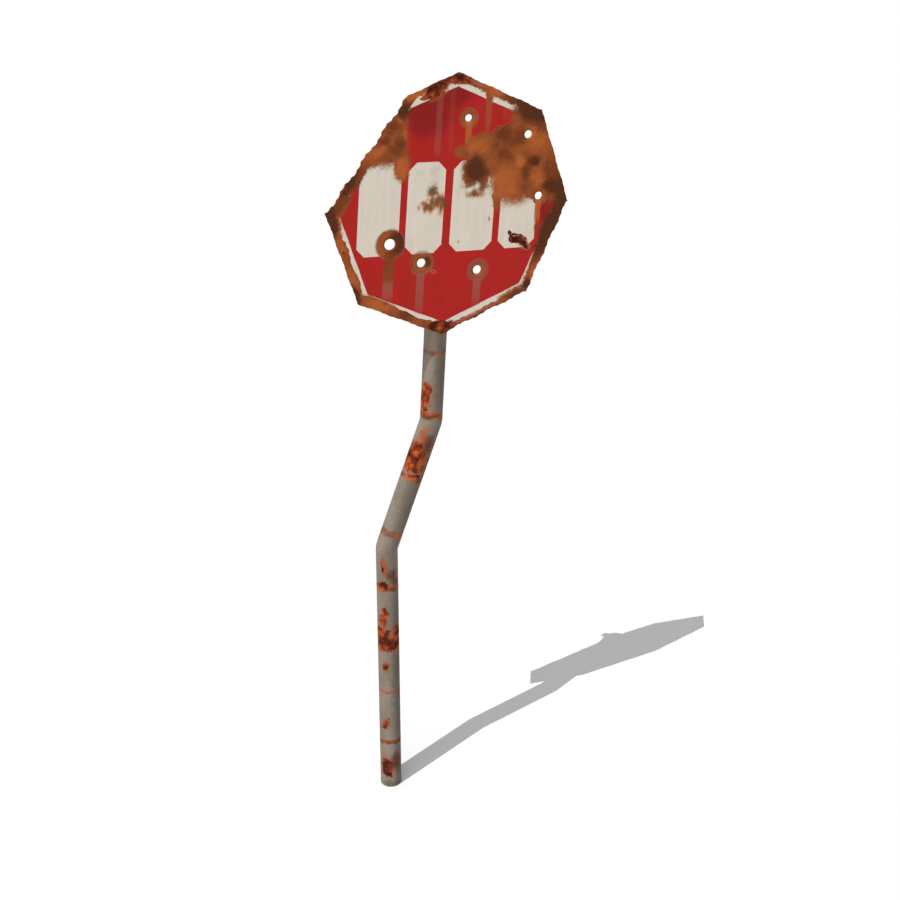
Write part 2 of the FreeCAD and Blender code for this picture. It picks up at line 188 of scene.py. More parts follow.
class Graph:
    """A short way to write a node tree: each call adds a node and returns what it puts out."""

    def __init__(self, tree):
        self.tree = tree

    def node(self, kind, inputs=None, **settings):
        made = self.tree.nodes.new(kind)
        for name, value in settings.items():
            setattr(made, name, value)
        for socket, value in (inputs or {}).items():
            self.feed(made.inputs[socket], value)
        return made

    def feed(self, socket, value):
        if isinstance(value, bpy.types.NodeSocket):
            self.tree.links.new(value, socket)
        elif socket.type == "RGBA" and len(value) == 3:
            socket.default_value = (*value, 1)
        else:
            socket.default_value = value

    def math(self, operation, *values):
        return self.node("ShaderNodeMath", dict(enumerate(values)), operation=operation).outputs[0]

    def joined(self, operation, values):
        """One operation that takes up all the values in turn."""
        result = values[0]
        for value in values[1:]:
            result = self.math(operation, result, value)
        return result

    def add(self, *values):
        return self.joined("ADD", values)

    def times(self, *values):
        return self.joined("MULTIPLY", values)

    def larger(self, *values):
        return self.joined("MAXIMUM", values)

    def smaller(self, *values):
        return self.joined("MINIMUM", values)

    def minus(self, a, b):
        return self.math("SUBTRACT", a, b)

    def rest(self, share):
        """What a share leaves over."""
        return self.minus(1.0, share)

    def absolute(self, a):
        return self.math("ABSOLUTE", a)

    def vector(self, operation, *values):
        made = self.node("ShaderNodeVectorMath", dict(enumerate(values)), operation=operation)
        return made.outputs["Value" if operation == "LENGTH" else "Vector"]

    def scaled(self, a, factors):
        """The vector times three factors, or times one number all ways."""
        if isinstance(factors, (int, float)):
            factors = (factors,) * 3
        return self.vector("MULTIPLY", a, factors)

    def parts(self, a):
        made = self.node("ShaderNodeSeparateXYZ", {0: a})
        return made.outputs[0], made.outputs[1], made.outputs[2]

    def placed(self, a, at, turn, scale):
        """The vector seen from a frame that lies at a place, turned and scaled."""
        made = self.node(
            "ShaderNodeMapping", {"Vector": a, "Location": at, "Rotation": turn, "Scale": scale},
            vector_type="TEXTURE")
        return made.outputs[0]

    def noise(self, vector, scale, detail=3.0, roughness=0.55, distortion=0.0):
        made = self.node("ShaderNodeTexNoise", {
            "Vector": vector, "Scale": scale, "Detail": detail, "Roughness": roughness,
            "Distortion": distortion})
        return made.outputs[0]

    def noise_vector(self, vector, scale, detail=2.0):
        made = self.node("ShaderNodeTexNoise", {"Vector": vector, "Scale": scale, "Detail": detail})
        return self.vector("SUBTRACT", made.outputs["Color"], (0.5, 0.5, 0.5))

    def cells(self, vector, scale):
        """Cells of random size: the distance from the middle of one, and its own random colour."""
        made = self.node("ShaderNodeTexVoronoi", {"Vector": vector, "Scale": scale})
        return made.outputs["Distance"], made.outputs["Color"]

    def step(self, value, low, high, to_low=0.0, to_high=1.0):
        """A smooth step between two results while the value goes from one bound to the other."""
        made = self.node("ShaderNodeMapRange", {
            "Value": value, "From Min": low, "From Max": high, "To Min": to_low, "To Max": to_high},
            interpolation_type="SMOOTHSTEP")
        return made.outputs[0]

    def mixer(self, kind, slot, share, a, b, blend="MIX"):
        """What a Mix node puts out. Its two values go in at a slot and at the next one."""
        made = self.node("ShaderNodeMix", {0: share, slot: a, slot + 1: b}, data_type=kind)
        made.blend_type = blend
        return made.outputs

    def mix(self, share, a, b, blend="MIX"):
        """The first colour where the share is 0 and the second where it is 1."""
        return self.mixer("RGBA", 6, share, a, b, blend)[2]

    def coated(self, colour, *coats):
        """A colour under some coats, each a share and a colour."""
        for share, coat in coats:
            colour = self.mix(share, colour, coat)
        return colour

    def blend(self, share, a, b):
        """The first value where the share is 0 and the second where it is 1."""
        return self.mixer("FLOAT", 2, share, a, b)[0]

    def bump(self, height, strength, distance):
        made = self.node("ShaderNodeBump", {
            "Height": height, "Strength": strength, "Distance": distance})
        return made.outputs[0]

    def mixed_normal(self, share, a, b):
        """The first normal where the share is 0 and the second where it is 1."""
        return self.vector("NORMALIZE", self.mixer("VECTOR", 4, share, a, b)[1])

    def use(self, build, **inputs):
        """Places the node group that a function describes. Returns what the group puts out."""
        made = self.node("ShaderNodeGroup", node_tree=shared_group(build, inputs))
        for name, value in inputs.items():
            self.feed(made.inputs[name.capitalize()], value)
        return made.outputs


def shared_group(build, takes):
    """The node group that a function describes, made the first time that it is asked for."""
    name = build.__name__.removeprefix("build_").replace("_", " ").capitalize()
    group = bpy.data.node_groups.get(name)
    if group:
        return group
    group = bpy.data.node_groups.new(name, "ShaderNodeTree")
    for label in takes:
        kind = "NodeSocketVector" if label == "place" else "NodeSocketFloat"
        group.interface.new_socket(name=label.capitalize(), in_out="INPUT", socket_type=kind)
    inside = group.nodes.new("NodeGroupInput").outputs
    graph = Graph(group)
    gives = build(graph, **{label: inside[label.capitalize()] for label in takes})
    for label in gives:
        kind = "NodeSocketColor" if label == "Colour" else "NodeSocketFloat"
        group.interface.new_socket(name=label, in_out="OUTPUT", socket_type=kind)
    end = group.nodes.new("NodeGroupOutput")
    for label, value in gives.items():
        graph.feed(end.inputs[label], value)
    return group


# The sign's own frame

def box_centre(node):
    low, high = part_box(node)
    return (low + high) / 2


def sign_turn():
    """Turns the sign's own axes (across, through, up) into the object's axes."""
    up = (box_centre("upper_rail") - box_centre("lower_rail")).normalized()
    lean = math.atan2(up.y, up.z)
    roll = math.asin(up.x)
    return Matrix.Rotation(-lean, 3, "X") @ Matrix.Rotation(roll, 3, "Y")


def sign_centre():
    """The centre of the plate's front face."""
    sizes = bpy.context.scene.sign_sizes
    turn = sign_turn()
    up = turn @ Vector((0, 0, 1))
    through = turn @ Vector((0, 1, 0))
    forward = sizes.rail_depth / 2 + sizes.plate_gauge
    return box_centre("lower_rail") + up * sizes.lower_rail_drop - through * forward


def on_sign(graph, position):
    """The position in the sign's own frame, in millimetres: across, through and up."""
    return graph.placed(position, sign_centre(), sign_turn().to_euler(), (MM, MM, MM))


# Marks on the sign, in millimetres from the plate's centre. Where no other order is
# given, a mark is an ellipse: across, up, half length, half height, turn in degrees

RUST_PATCHES = [
    (262, 268, 72, 42, -20),
    (255, 186, 92, 76, 0),
    (176, 178, 64, 56, 10),
    (148, 224, 34, 18, 30),
    (104, 186, 58, 34, 0),
    (58, 164, 50, 20, -10),
    (80, 130, 44, 36, 30),
    (66, 96, 26, 30, -40),
    (102, 94, 22, 28, 0),
    (146, 124, 46, 42, 0),
    (216, 88, 78, 78, 0),
    (158, 34, 14, 46, 0),
    (280, 40, 36, 26, 0),
    (332, 110, 64, 98, 22),
    (392, 6, 26, 62, 0),
    (348, -112, 26, 104, -21),
    (342, -66, 14, 44, -25),
    (307, -240, 24, 62, -21),
    (252, -295, 60, 21, 22),
    (0, -390, 50, 22, 0),
    (-112, -362, 92, 11, -21),
    (-237, -299, 78, 23, -21),
    (-345, -140, 10, 152, 21),
    (-386, -30, 24, 58, 18),
    (-337, 76, 112, 19, 54),
    (-364, 14, 48, 18, 52),
    (-262, 172, 54, 34, 25),
    (-222, 204, 60, 62, 0),
    (-191, 262, 30, 84, -8),
    (-170, 296, 14, 24, -24),
    (-172, 136, 25, 46, 5),
    (-140, 351, 44, 13, 22),
    (-72, 356, 36, 23, 22),
    (-6, 391, 64, 15, 0),
    (150, 342, 164, 15, -22),
    (108, 346, 12, 28, 4),
]
DARK_ZONES = [
    (262, 284, 68, 32, -20),
    (400, 0, 38, 92, 8),
    (352, 44, 38, 22, -30),
    (346, -84, 32, 108, -21),
    (82, 110, 36, 36, 20),
    (280, 132, 20, 16, 0),
    (-170, 299, 24, 28, 0),
    (-336, 84, 46, 10, 54),
    (-390, -26, 18, 54, 18),
    (166, -343, 30, 5, 22),
    (-300, -262, 14, 30, 20),
    (288, -264, 14, 14, 0),
]
MUTED_ZONES = [
    (278, 132, 26, 20, 0),
    (164, 216, 30, 26, 0),
    (228, 206, 28, 26, 0),
    (292, 232, 30, 14, -20),
    (176, 158, 22, 26, 0),
    (134, 184, 18, 16, 0),
    (342, 90, 26, 44, 20),
    (250, 96, 20, 20, 0),
    (-226, 212, 24, 14, 30),
    (-205, 255, 18, 14, 0),
    (-180, 206, 18, 20, 0),
    (-200, 184, 22, 14, 0),
    (-212, 234, 16, 12, 0),
    (255, 90, 16, 16, 0),
    (238, 50, 20, 18, 0),
    (176, 160, 20, 20, 0),
    (210, 196, 28, 18, 0),
    (96, -370, 60, 7, 22),
    (-338, 64, 92, 26, 56),
    (-140, -336, 24, 14, -21),
    (256, -296, 40, 16, 22),
    (196, 322, 44, 16, -22),
    (-196, -292, 10, 10, 0),
]
BRIGHT_ZONES = [
    (284, 204, 44, 32, 0),
    (178, 82, 48, 34, 0),
    (196, 44, 56, 28, 0),
    (298, 82, 24, 30, 0),
    (230, 130, 14, 26, 0),
    (86, 186, 46, 24, 0),
    (-140, 346, 38, 14, 20),
    (-272, 168, 30, 18, 30),
    (-240, 186, 16, 14, 0),
    (-182, 272, 12, 12, 0),
    (-166, 228, 12, 14, 0),
    (-168, 126, 22, 30, 0),
    (-314, -214, 15, 40, 21),
    (-358, -102, 12, 30, 21),
    (-214, -298, 52, 18, -21),
    (312, -212, 13, 38, -21),
    (120, 352, 40, 12, -22),
]
CRUST_ZONES = [
    (0, 396, 62, 30, 0),
    (-72, 358, 38, 22, 24),
    (0, -390, 54, 30, 0),
    (-346, -130, 7, 14, 20),
    (150, -350, 44, 5, 22),
    (70, -380, 20, 6, 22),
]
# Rings round the shots: across, up, radius of rust, radius of the bruised film, share of dark rust
SHOT_RINGS = [
    (43.4, 271.1, 28, 32, 0.0),
    (251.7, 214.9, 20, 22, 0.0),
    (305.6, 19.9, 22, 24, 0.0),
    (-193.9, -108.1, 45, 49, 0.85),
    (-84.7, -173.2, 30, 40, 0.5),
    (109.7, -207.2, 26, 37, 0.0),
]
# Run-off stains: across, top, bottom, half width, kind
RUST_RUNS = [
    (44.5, 262, 168, 10.5, "orange"),
    (107.5, 350, 320, 8, "orange"),
    (107.5, 330, 204, 6, "thin"),
    (107.5, 330, 230, 11, "faint"),
    (304, 10, -78, 10, "orange"),
    (-194.5, -130, -250, 17, "brown"),
    (-194.5, -222, -300, 17, "wash"),
    (-86, -196, -346, 13.5, "wash"),
    (110, -228, -332, 13.5, "wash"),
    (-56, 352, 146, 10.5, "faint"),
    (-14, 366, 150, 8, "ghost"),
    (164, 300, 250, 7, "ghost"),
]
# Rust on the plate's back, below rails, welds and shots: across, top, bottom, half width
BACK_RUNS = [
    (-206, -18, -150, 5),
    (-128, -18, -96, 7),
    (-52, -16, -210, 8),
    (52, -16, -176, 6),
    (112, -18, -84, 5),
    (188, -18, -226, 7),
    (-196, -276, -352, 6),
    (-94, -276, -370, 5),
    (-50, -276, -392, 8),
    (56, -276, -384, 7),
    (160, -276, -356, 5),
    (44, 262, 196, 7),
    (252, 208, 132, 6),
    (-194, -122, -196, 9),
    (-88, -180, -248, 6),
    (110, -216, -250, 6),
]
BACK_WASHES = [
    (-225, 17, 6, 5, 0),
    (225, -18, 10, 12, 0),
    (-222, -262, 16, 26, 0),
    (228, -270, 14, 30, 0),
    (-46, -24, 20, 26, 0),
    (50, -30, 16, 30, 0),
    (-48, -286, 22, 24, 0),
    (52, -288, 18, 30, 0),
    (-110, 22, 30, 5, 0),
    (150, 23, 44, 5, 0),
]
FILM_SMUDGES = [
    (-62, 54, 22, 32, 0),
    (-52, 16, 34, 24, -10),
    (-74, 4, 32, 22, 10),
    (-26, 12, 20, 34, 0),
    (-38, 22, 26, 24, 0),
    (62, 70, 30, 20, 0),
    (104, 58, 20, 24, 0),
    (82, 38, 34, 16, 0),
    (82, 108, 46, 44, 20),
    (304, -84, 9, 14, 0),
]
FAINT_SMUDGES = [
    (-60, 112, 18, 26, 0),
    (-104, 108, 16, 14, 0),
    (-14, 116, 10, 26, 0),
    (-178, 104, 22, 22, 0),
    (206, 6, 34, 14, 0),
    (250, 0, 30, 14, 0),
    (170, -8, 12, 26, 0),
]
SPECKS = [
    (136, -44, 5, 8, 0),
    (36, -112, 4, 5, 0),
]
TORN_RINGS = [
    (-43, -203, 9, 5, -20),
    (268, -134, 22, 13, -40),
]
TORN_CHIP = [
    (225, -111, 15, 17, 0),
    (245, -114, 19, 14, -8),
    (212, -94, 8, 6, -60),
    (262, -128, 14, 9, -45),
    (276, -144, 12, 5, -55),
    (268, -118, 8, 9, 20),
]
DEEP_RED_ZONES = [
    (-96, 288, 84, 66, 0),
    (-20, 336, 76, 30, 10),
    (334, -26, 30, 52, 20),
]
ROSE_STAINS = [
    (118, -346, 100, 7, 22),
    (62, 378, 36, 8, -22),
]


def ellipse_reach(graph, place, centre, halves):
    """How far a place is from a centre: 1 on the ellipsoid with these half lengths."""
    factors = [1 / half if half else 0 for half in halves]
    offset = [-value * factor for value, factor in zip(centre, factors)]
    return graph.vector("LENGTH", graph.vector("MULTIPLY_ADD", place, factors, offset))


def nearest_patch(graph, place, patches):
    """How far a place is from the nearest of some ellipses: 0 at a centre and 1 on an edge."""
    reaches = []
    for across, up, half_length, half_height, turn in patches:
        turned = graph.node(
            "ShaderNodeVectorRotate",
            {"Vector": place, "Center": (across, 0, up), "Angle": math.radians(turn)},
            rotation_type="Y_AXIS").outputs[0]
        halves = (half_length, None, half_height)
        reaches.append(ellipse_reach(graph, turned, (across, 0, up), halves))
    return graph.smaller(*reaches)


def marked(graph, place, patches, outer, inner, fray=None):
    """A mask of some ellipses: 0 past the outer reach and 1 within the inner one.

    A fray is noise that is added to the reach, to break up the edges.
    """
    reach = nearest_patch(graph, place, patches)
    if fray is not None:
        reach = graph.add(reach, fray)
    return graph.step(reach, outer, inner)


def wandering(graph, place, coarse, fine):
    """The place pushed about by noise, so that the marks' edges wander."""
    slow = graph.scaled(graph.noise_vector(place, 0.022, 2.0), coarse)
    quick = graph.scaled(graph.noise_vector(place, 0.11, 4.0), fine)
    return graph.vector("ADD", place, graph.vector("ADD", slow, quick))


def build_sign_rust(graph, place):
    """Where rust covers the sign's face and back, and its tone and depth."""
    pushed = wandering(graph, place, 18.0, 18.0)
    clouded = wandering(graph, place, 38.0, 24.0)
    reach = nearest_patch(graph, pushed, RUST_PATCHES)
    speckle = graph.noise(place, 0.13, 6.0, 0.75)
    reach = graph.add(reach, graph.times(graph.minus(speckle, 0.5), 0.85))
    cover = graph.step(reach, 1.26, 0.86)
    dark = marked(graph, clouded, DARK_ZONES, 1.45, 0.55)
    muted = marked(graph, clouded, MUTED_ZONES, 1.6, 0.2)
    bright = marked(graph, clouded, BRIGHT_ZONES, 1.6, 0.3)
    cloud = graph.noise(place, 0.021, 3.0, 0.5)
    grain = graph.noise(place, 0.1, 5.0, 0.6)
    tone = graph.add(
        graph.step(cloud, 0.3, 0.7, 0.36, 0.56), graph.times(grain, 0.26), graph.times(bright, 0.3))
    tone = graph.minus(tone, graph.times(muted, 0.26))
    tone = graph.times(tone, graph.rest(graph.times(dark, 0.9)))
    crust = marked(graph, pushed, CRUST_ZONES, 1.1, 0.8)
    chip_place = wandering(graph, place, 5.0, 12.0)
    chip = marked(graph, chip_place, TORN_CHIP, 1.08, 0.98)
    across = graph.parts(pushed)[0]
    tone = graph.blend(chip, tone, graph.step(across, CHIP_DULL, CHIP_BRIGHT, 0.0, 0.8))
    return {
        "Cover": cover,
        "Fringe": graph.step(reach, 1.42, 1.0, 0.0, 0.5),
        "Tone": tone,
        "Crust": crust,
        "Chip": chip,
    }


def build_rust_look(graph, place, tone, crust):
    """Colour and roughness of rust, from its tone and from how crusted it is, with painted shade on the
    crust's lobes.
    """
    colours = bpy.context.scene.sign_colours
    fine = graph.noise(place, 0.7, 3.0, 0.6)
    flat = graph.coated(
        colours.rust_dark,
        (graph.step(tone, 0.05, 0.4), colours.rust_brown),
        (graph.step(tone, 0.36, 0.66), colours.rust_tan),
        (graph.step(tone, 0.6, 1.0), colours.rust_orange),
        (graph.times(graph.step(fine, 0.5, 0.8), 0.22), colours.rust_dark))
    # Each lobe of crust is painted orange in its middle, then red-brown and maroon towards its edges, and
    # the creases get thin maroon lines: painted shade laid over the crust's own colours
    lobes, crease = crust_pattern(graph, place)
    gloom = graph.add(graph.noise(place, 0.032, 4.0, 0.65), graph.times(tone, -0.3))
    face = graph.coated(
        colours.crust_bright,
        (graph.step(lobes, 0.15, 0.55), colours.crust_red),
        (graph.step(lobes, 0.48, 0.78), colours.crust_dark),
        (graph.step(fine, 0.45, 0.75, 0.0, 0.4), colours.rust_brown),
        (graph.step(gloom, 0.32, 0.48, 0.0, 0.8), colours.crust_dark))
    crusted = graph.mix(crease, colours.crust_dark, face)
    return {
        "Colour": graph.mix(crust, flat, crusted),
        "Roughness": graph.step(fine, 0.2, 0.8, 0.8, 0.95),
    }


def crust_pattern(graph, place):
    """Lobes of thick crust, 0 in their middle, and a share that falls to a half in the creases."""
    push = graph.scaled(graph.noise_vector(place, 0.08, 4.0), 24)
    lobes = graph.cells(graph.vector("ADD", place, push), CRUST_SCALE)[0]
    flow = graph.noise(graph.scaled(place, (1, 1, 1.7)), 0.024, 4.0, 0.6, 0.8)
    ridge = graph.absolute(graph.minus(flow, 0.5))
    return lobes, graph.step(ridge, 0.0, 0.03, 0.5, 1.0)


def build_rust_relief(graph, place):
    """Heights of pitted rust and of thick crust."""
    pits = graph.noise(place, 0.28, 5.0, 0.65)
    lobes, crease = crust_pattern(graph, place)
    raised = graph.add(graph.step(lobes, 1.0, 0.0, 0.0, 0.7), graph.times(crease, 0.5))
    return {"Pits": pits, "Lumps": graph.add(raised, graph.times(pits, 0.5))}


def build_sign_stains(graph, place):
    """Rings and run-off stains on the films: one mask for each colour of stain."""
    pushed = wandering(graph, place, 2.5, 3.5)
    rings = [(across, up, core, core, 0) for across, up, core, bruise, dark in SHOT_RINGS]
    halos = [(across, up, bruise, bruise, 0) for across, up, core, bruise, dark in SHOT_RINGS]
    dark_rings = [
        (across + core * DARK_ASIDE, up + core * DARK_ABOVE, core * dark,
         core * dark * DARK_TALLNESS, 0)
        for across, up, core, bruise, dark in SHOT_RINGS if dark > 0]
    ring = marked(graph, pushed, rings, 1.1, 0.96)
    halo = marked(graph, pushed, halos, 1.1, 0.94)
    dark = marked(graph, pushed, dark_rings, 1.3, 0.5)
    masks = run_masks(graph, pushed, RUST_RUNS)
    streak = graph.noise(graph.scaled(place, (0.12, 0, 0.03)), 1.0, 3.0)
    solid = graph.larger(masks["orange"], masks["brown"], graph.times(masks["thin"], 0.62))
    rust = graph.larger(
        graph.times(ring, 0.96), graph.times(solid, graph.step(streak, 0.2, 0.55, 0.7, 0.94)))
    mottle = graph.noise(place, 0.05, 3.0)
    tone = graph.add(0.56, graph.times(mottle, 0.3), graph.times(masks["orange"], 0.22))
    tone = graph.minus(tone, graph.times(masks["brown"], 0.24))
    tone = graph.times(tone, graph.rest(graph.times(dark, 0.88)))
    wash = graph.larger(
        graph.times(masks["wash"], 0.82), graph.times(masks["faint"], 0.36),
        graph.times(masks["ghost"], 0.16))
    wash = graph.times(wash, graph.step(streak, 0.2, 0.7, 0.8, 1.05))
    drifted = wandering(graph, place, 26.0, 6.0)
    broken = graph.times(graph.noise(graph.scaled(place, (1, 1, 0.7)), 0.05, 4.0, 0.6), 1.8)
    smudge = marked(graph, drifted, FILM_SMUDGES, 2.4, 0.9, broken)
    faint = marked(graph, drifted, FAINT_SMUDGES, 2.4, 0.9, broken)
    smudge = graph.larger(graph.times(smudge, 0.94), graph.times(faint, 0.3))
    speck = marked(graph, wandering(graph, place, 2.0, 6.0), SPECKS, 1.2, 0.8)
    torn = nearest_patch(graph, wandering(graph, place, 4.0, 9.0), TORN_RINGS)
    torn = graph.step(graph.absolute(graph.minus(torn, 1.0)), 0.22, 0.1)
    fray = graph.times(graph.noise(place, 0.1, 4.0), 0.5)
    rose = marked(graph, pushed, ROSE_STAINS, 1.4, 0.9, fray)
    return {
        "Rust": rust,
        "Rust tone": tone,
        "Wash": wash,
        "Halo": graph.times(halo, 0.62),
        "Smudge": graph.larger(smudge, graph.times(speck, 0.5)),
        "Torn": graph.times(torn, 0.6),
        "Rose": graph.times(rose, 0.7),
    }


def build_back_stains(graph, place):
    """Rust round the shots and below the rails on the plate's back: its cover and its tone."""
    pushed = wandering(graph, place, 7.0, 16.0)
    wide, tall = BACK_RING
    rings = [
        (across, up, core * wide, core * tall, 0) for across, up, core, bruise, dark in SHOT_RINGS]
    fray = graph.times(graph.noise(place, 0.11, 5.0, 0.7), 0.8)
    ring = marked(graph, pushed, rings, 1.6, 1.15, fray)
    wash = marked(graph, pushed, BACK_WASHES, 1.7, 0.9, fray)
    runs = [(*run, "streak") for run in BACK_RUNS]
    streak = run_masks(graph, wandering(graph, place, 5.0, 7.0), runs)["streak"]
    thread = graph.noise(graph.scaled(place, (0.16, 0, 0.012)), 1.0, 4.0, 0.6)
    streak = graph.times(streak, graph.step(thread, 0.36, 0.66, 0.1, 0.85))
    return {
        "Rust": graph.larger(ring, streak, graph.times(wash, 0.9)),
        "Tone": graph.step(graph.noise(place, 0.05, 4.0), 0.32, 0.68, 0.15, 0.85),
    }


def run_masks(graph, place, runs):
    """A mask for each kind of run-off stain, soft at its foot."""
    across, _, up = graph.parts(place)
    masks = {kind: 0.0 for middle, top, bottom, half, kind in runs}
    for middle, top, bottom, half, kind in runs:
        off = graph.absolute(graph.minus(across, middle))
        wide = graph.step(off, half + RUN_SIDE, half - RUN_SIDE)
        foot = graph.step(up, bottom, bottom + RUN_FOOT)
        tall = graph.times(foot, graph.step(up, top + RUN_HEAD, top - RUN_HEAD))
        if kind == "wash":
            tall = graph.times(tall, graph.step(up, bottom, top, 0.62, 1.0))
        masks[kind] = graph.larger(masks[kind], graph.times(wide, tall))
    return masks


def build_weather(graph, place):
    """Faint run-down streaks and grime, the same on both films: two masks and a fine height."""
    streak = graph.noise(graph.scaled(place, (0.06, 0.06, 0.006)), 1.0, 3.0, 0.5)
    cloud = graph.noise(place, 0.014, 4.0, 0.55)
    spots = graph.noise(place, 0.22, 5.0, 0.7)
    darkening = graph.times(graph.step(cloud, 0.4, 0.75), graph.step(spots, 0.35, 0.75))
    ripple = graph.noise(place, 0.03, 2.0)
    return {
        "Streak": graph.step(streak, 0.42, 0.75),
        "Grime": darkening,
        "Height": graph.add(graph.times(ripple, 0.8), graph.times(spots, 0.08)),
    }


def build_zinc(graph, place):
    """Weathered galvanised steel: colour, roughness and a slow mottle."""
    colours = bpy.context.scene.sign_colours
    cloud = graph.noise(graph.scaled(place, (1, 1, 0.35)), 0.02, 3.0, 0.5)
    grain = graph.noise(graph.scaled(place, (1, 1, 0.07)), 0.2, 4.0, 0.6)
    spangle = graph.parts(graph.cells(place, 0.09)[1])[0]
    base = graph.coated(
        colours.zinc,
        (graph.step(cloud, 0.35, 0.75), colours.zinc_dull),
        (graph.times(spangle, 0.1), colours.zinc_dull),
        (graph.times(graph.step(grain, 0.52, 0.8), 0.32), colours.zinc_dark))
    return {
        "Colour": base,
        "Roughness": graph.step(grain, 0.3, 0.8, 0.5, 0.72),
        "Mottle": cloud,
    }


def new_material(name):
    """An empty material with its graph and the socket that its shader goes to."""
    material = bpy.data.materials.new(name)
    material.use_nodes = True
    material.node_tree.nodes.clear()
    graph = Graph(material.node_tree)
    return material, graph, graph.node("ShaderNodeOutputMaterial").inputs["Surface"]


def cad_meshes(nodes):
    return [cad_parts[node].data for node in nodes]


def finish_material(name, meshes, sheen):
    """Gives some meshes a new material. Returns its graph, position and surface shader."""
    material, graph, end = new_material(name)
    position = graph.node("ShaderNodeTexCoord").outputs["Object"]
    surface = graph.node("ShaderNodeBsdfPrincipled", {"Specular IOR Level": sheen})
    graph.feed(end, surface.outputs[0])
    for mesh in meshes:
        mesh.materials.clear()
        mesh.materials.append(material)
    return graph, position, surface


def dress_surface(graph, surface, base, roughness, normal, metallic=None):
    """Feeds a shader with the values that change over its surface."""
    graph.feed(surface.inputs["Base Color"], base)
    graph.feed(surface.inputs["Roughness"], roughness)
    graph.feed(surface.inputs["Normal"], normal)
    if metallic is not None:
        graph.feed(surface.inputs["Metallic"], metallic)


def rust_over(graph, place, base, base_roughness, base_height):
    """Lays the sign's rust, rings, runs and chip over a film. Returns colour, roughness, height."""
    colours = bpy.context.scene.sign_colours
    rust = graph.use(build_sign_rust, place=place)
    stains = graph.use(build_sign_stains, place=place)
    height = graph.parts(wandering(graph, place, 20.0, 16.0))[2]
    low = graph.step(height, SMUDGE_GREY_ABOVE, SMUDGE_TAN_BELOW)
    pale = graph.mix(low, colours.smudge_grey, colours.smudge_tan)
    ring_look = graph.use(build_rust_look, place=place, tone=stains["Rust tone"], crust=0.0)
    crust = graph.larger(rust["Crust"], rust["Chip"])
    look = graph.use(build_rust_look, place=place, tone=rust["Tone"], crust=crust)
    worn = graph.larger(rust["Cover"], rust["Chip"])
    tinted = graph.coated(
        base,
        (stains["Halo"], colours.halo_grey),
        (stains["Wash"], colours.wash_pink),
        (stains["Rose"], colours.wash_rose))
    tinted = graph.mix(graph.step(stains["Smudge"], 0.0, 0.85), tinted, pale, "DARKEN")
    shown = graph.coated(
        tinted,
        (graph.step(stains["Smudge"], 0.3, 0.94, 0.0, 0.85), colours.smudge),
        (stains["Torn"], colours.torn_edge),
        (stains["Rust"], ring_look["Colour"]),
        (rust["Fringe"], look["Colour"]),
        (worn, look["Colour"]))
    rusted = graph.larger(worn, stains["Rust"])
    roughness = graph.blend(rusted, base_roughness, look["Roughness"])
    normal = rusted_normal(graph, place, rusted, crust, graph.bump(base_height, 0.5, FILM_RIPPLE))
    return shown, roughness, normal


def rusted_normal(graph, place, rusted, crusted, smooth, pit_depth=SHEET_PITS):
    """Pits where the surface is rusted, lumps where it is crusted, and elsewhere a given normal."""
    relief = graph.use(build_rust_relief, place=place)
    pitted = graph.mixed_normal(rusted, smooth, graph.bump(relief["Pits"], 0.6, pit_depth))
    return graph.mixed_normal(crusted, pitted, graph.bump(relief["Lumps"], 0.9, CRUST_LUMPS))


class SIGN_OT_plate(bpy.types.Operator):
    """Gives the steel plate its rusted front and its zinc grey, stained back"""

    bl_idname = "sign.plate"
    bl_label = "Dress sign plate"

    def execute(self, context):
        colours = context.scene.sign_colours
        meshes = cad_meshes(["sign_plate"])
        graph, position, surface = finish_material("rusted_plate", meshes, RUST_SHEEN)
        place = on_sign(graph, position)
        rust = graph.use(build_sign_rust, place=place)
        stains = graph.use(build_sign_stains, place=place)
        back = graph.use(build_back_stains, place=place)
        through = graph.parts(place)[1]
        depth = context.scene.sign_sizes.plate_gauge / MM
        behind = graph.step(through, *(depth * share for share in BACK_EDGE))
        stained = graph.blend(behind, stains["Rust"], back["Rust"])
        stain_tone = graph.blend(behind, stains["Rust tone"], back["Tone"])
        crust = graph.larger(rust["Crust"], rust["Chip"])
        in_ring = graph.times(stained, graph.rest(rust["Cover"]))
        tone = graph.blend(in_ring, rust["Tone"], stain_tone)
        look = graph.use(build_rust_look, place=place, tone=tone, crust=crust)
        zinc = graph.use(build_zinc, place=place)
        creep = graph.step(graph.add(rust["Cover"], zinc["Mottle"]), 1.0, 1.35)
        spread = graph.larger(creep, graph.times(back["Rust"], 0.9))
        bare_zinc = graph.times(behind, graph.rest(spread))
        rose = graph.times(stains["Rose"], graph.rest(behind))
        shown = graph.coated(
            look["Colour"], (rose, colours.wash_rose), (bare_zinc, zinc["Colour"]))
        roughness = graph.blend(bare_zinc, look["Roughness"], zinc["Roughness"])
        rusted = graph.rest(bare_zinc)
        flat = graph.bump(graph.times(zinc["Mottle"], 0.15), 0.5, ZINC_WAVES)
        normal = rusted_normal(graph, place, rusted, graph.times(crust, rusted), flat)
        dress_surface(graph, surface, shown, roughness, normal, graph.times(bare_zinc, 0.35))
        return {"FINISHED"}


def start_film(name, node):
    """A film's material: its graph and shader, its place on the sign and its weathering."""
    graph, position, surface = finish_material(name, cad_meshes([node]), FILM_SHEEN)
    place = on_sign(graph, position)
    return graph, surface, place, graph.use(build_weather, place=place)


def finish_film(graph, surface, place, weather, base, clean_roughness):
    """Lays the stains and rust over a film's own colour."""
    roughness = graph.step(weather["Grime"], 0.0, 1.0, clean_roughness, 0.7)
    dress_surface(graph, surface, *rust_over(graph, place, base, roughness, weather["Height"]))


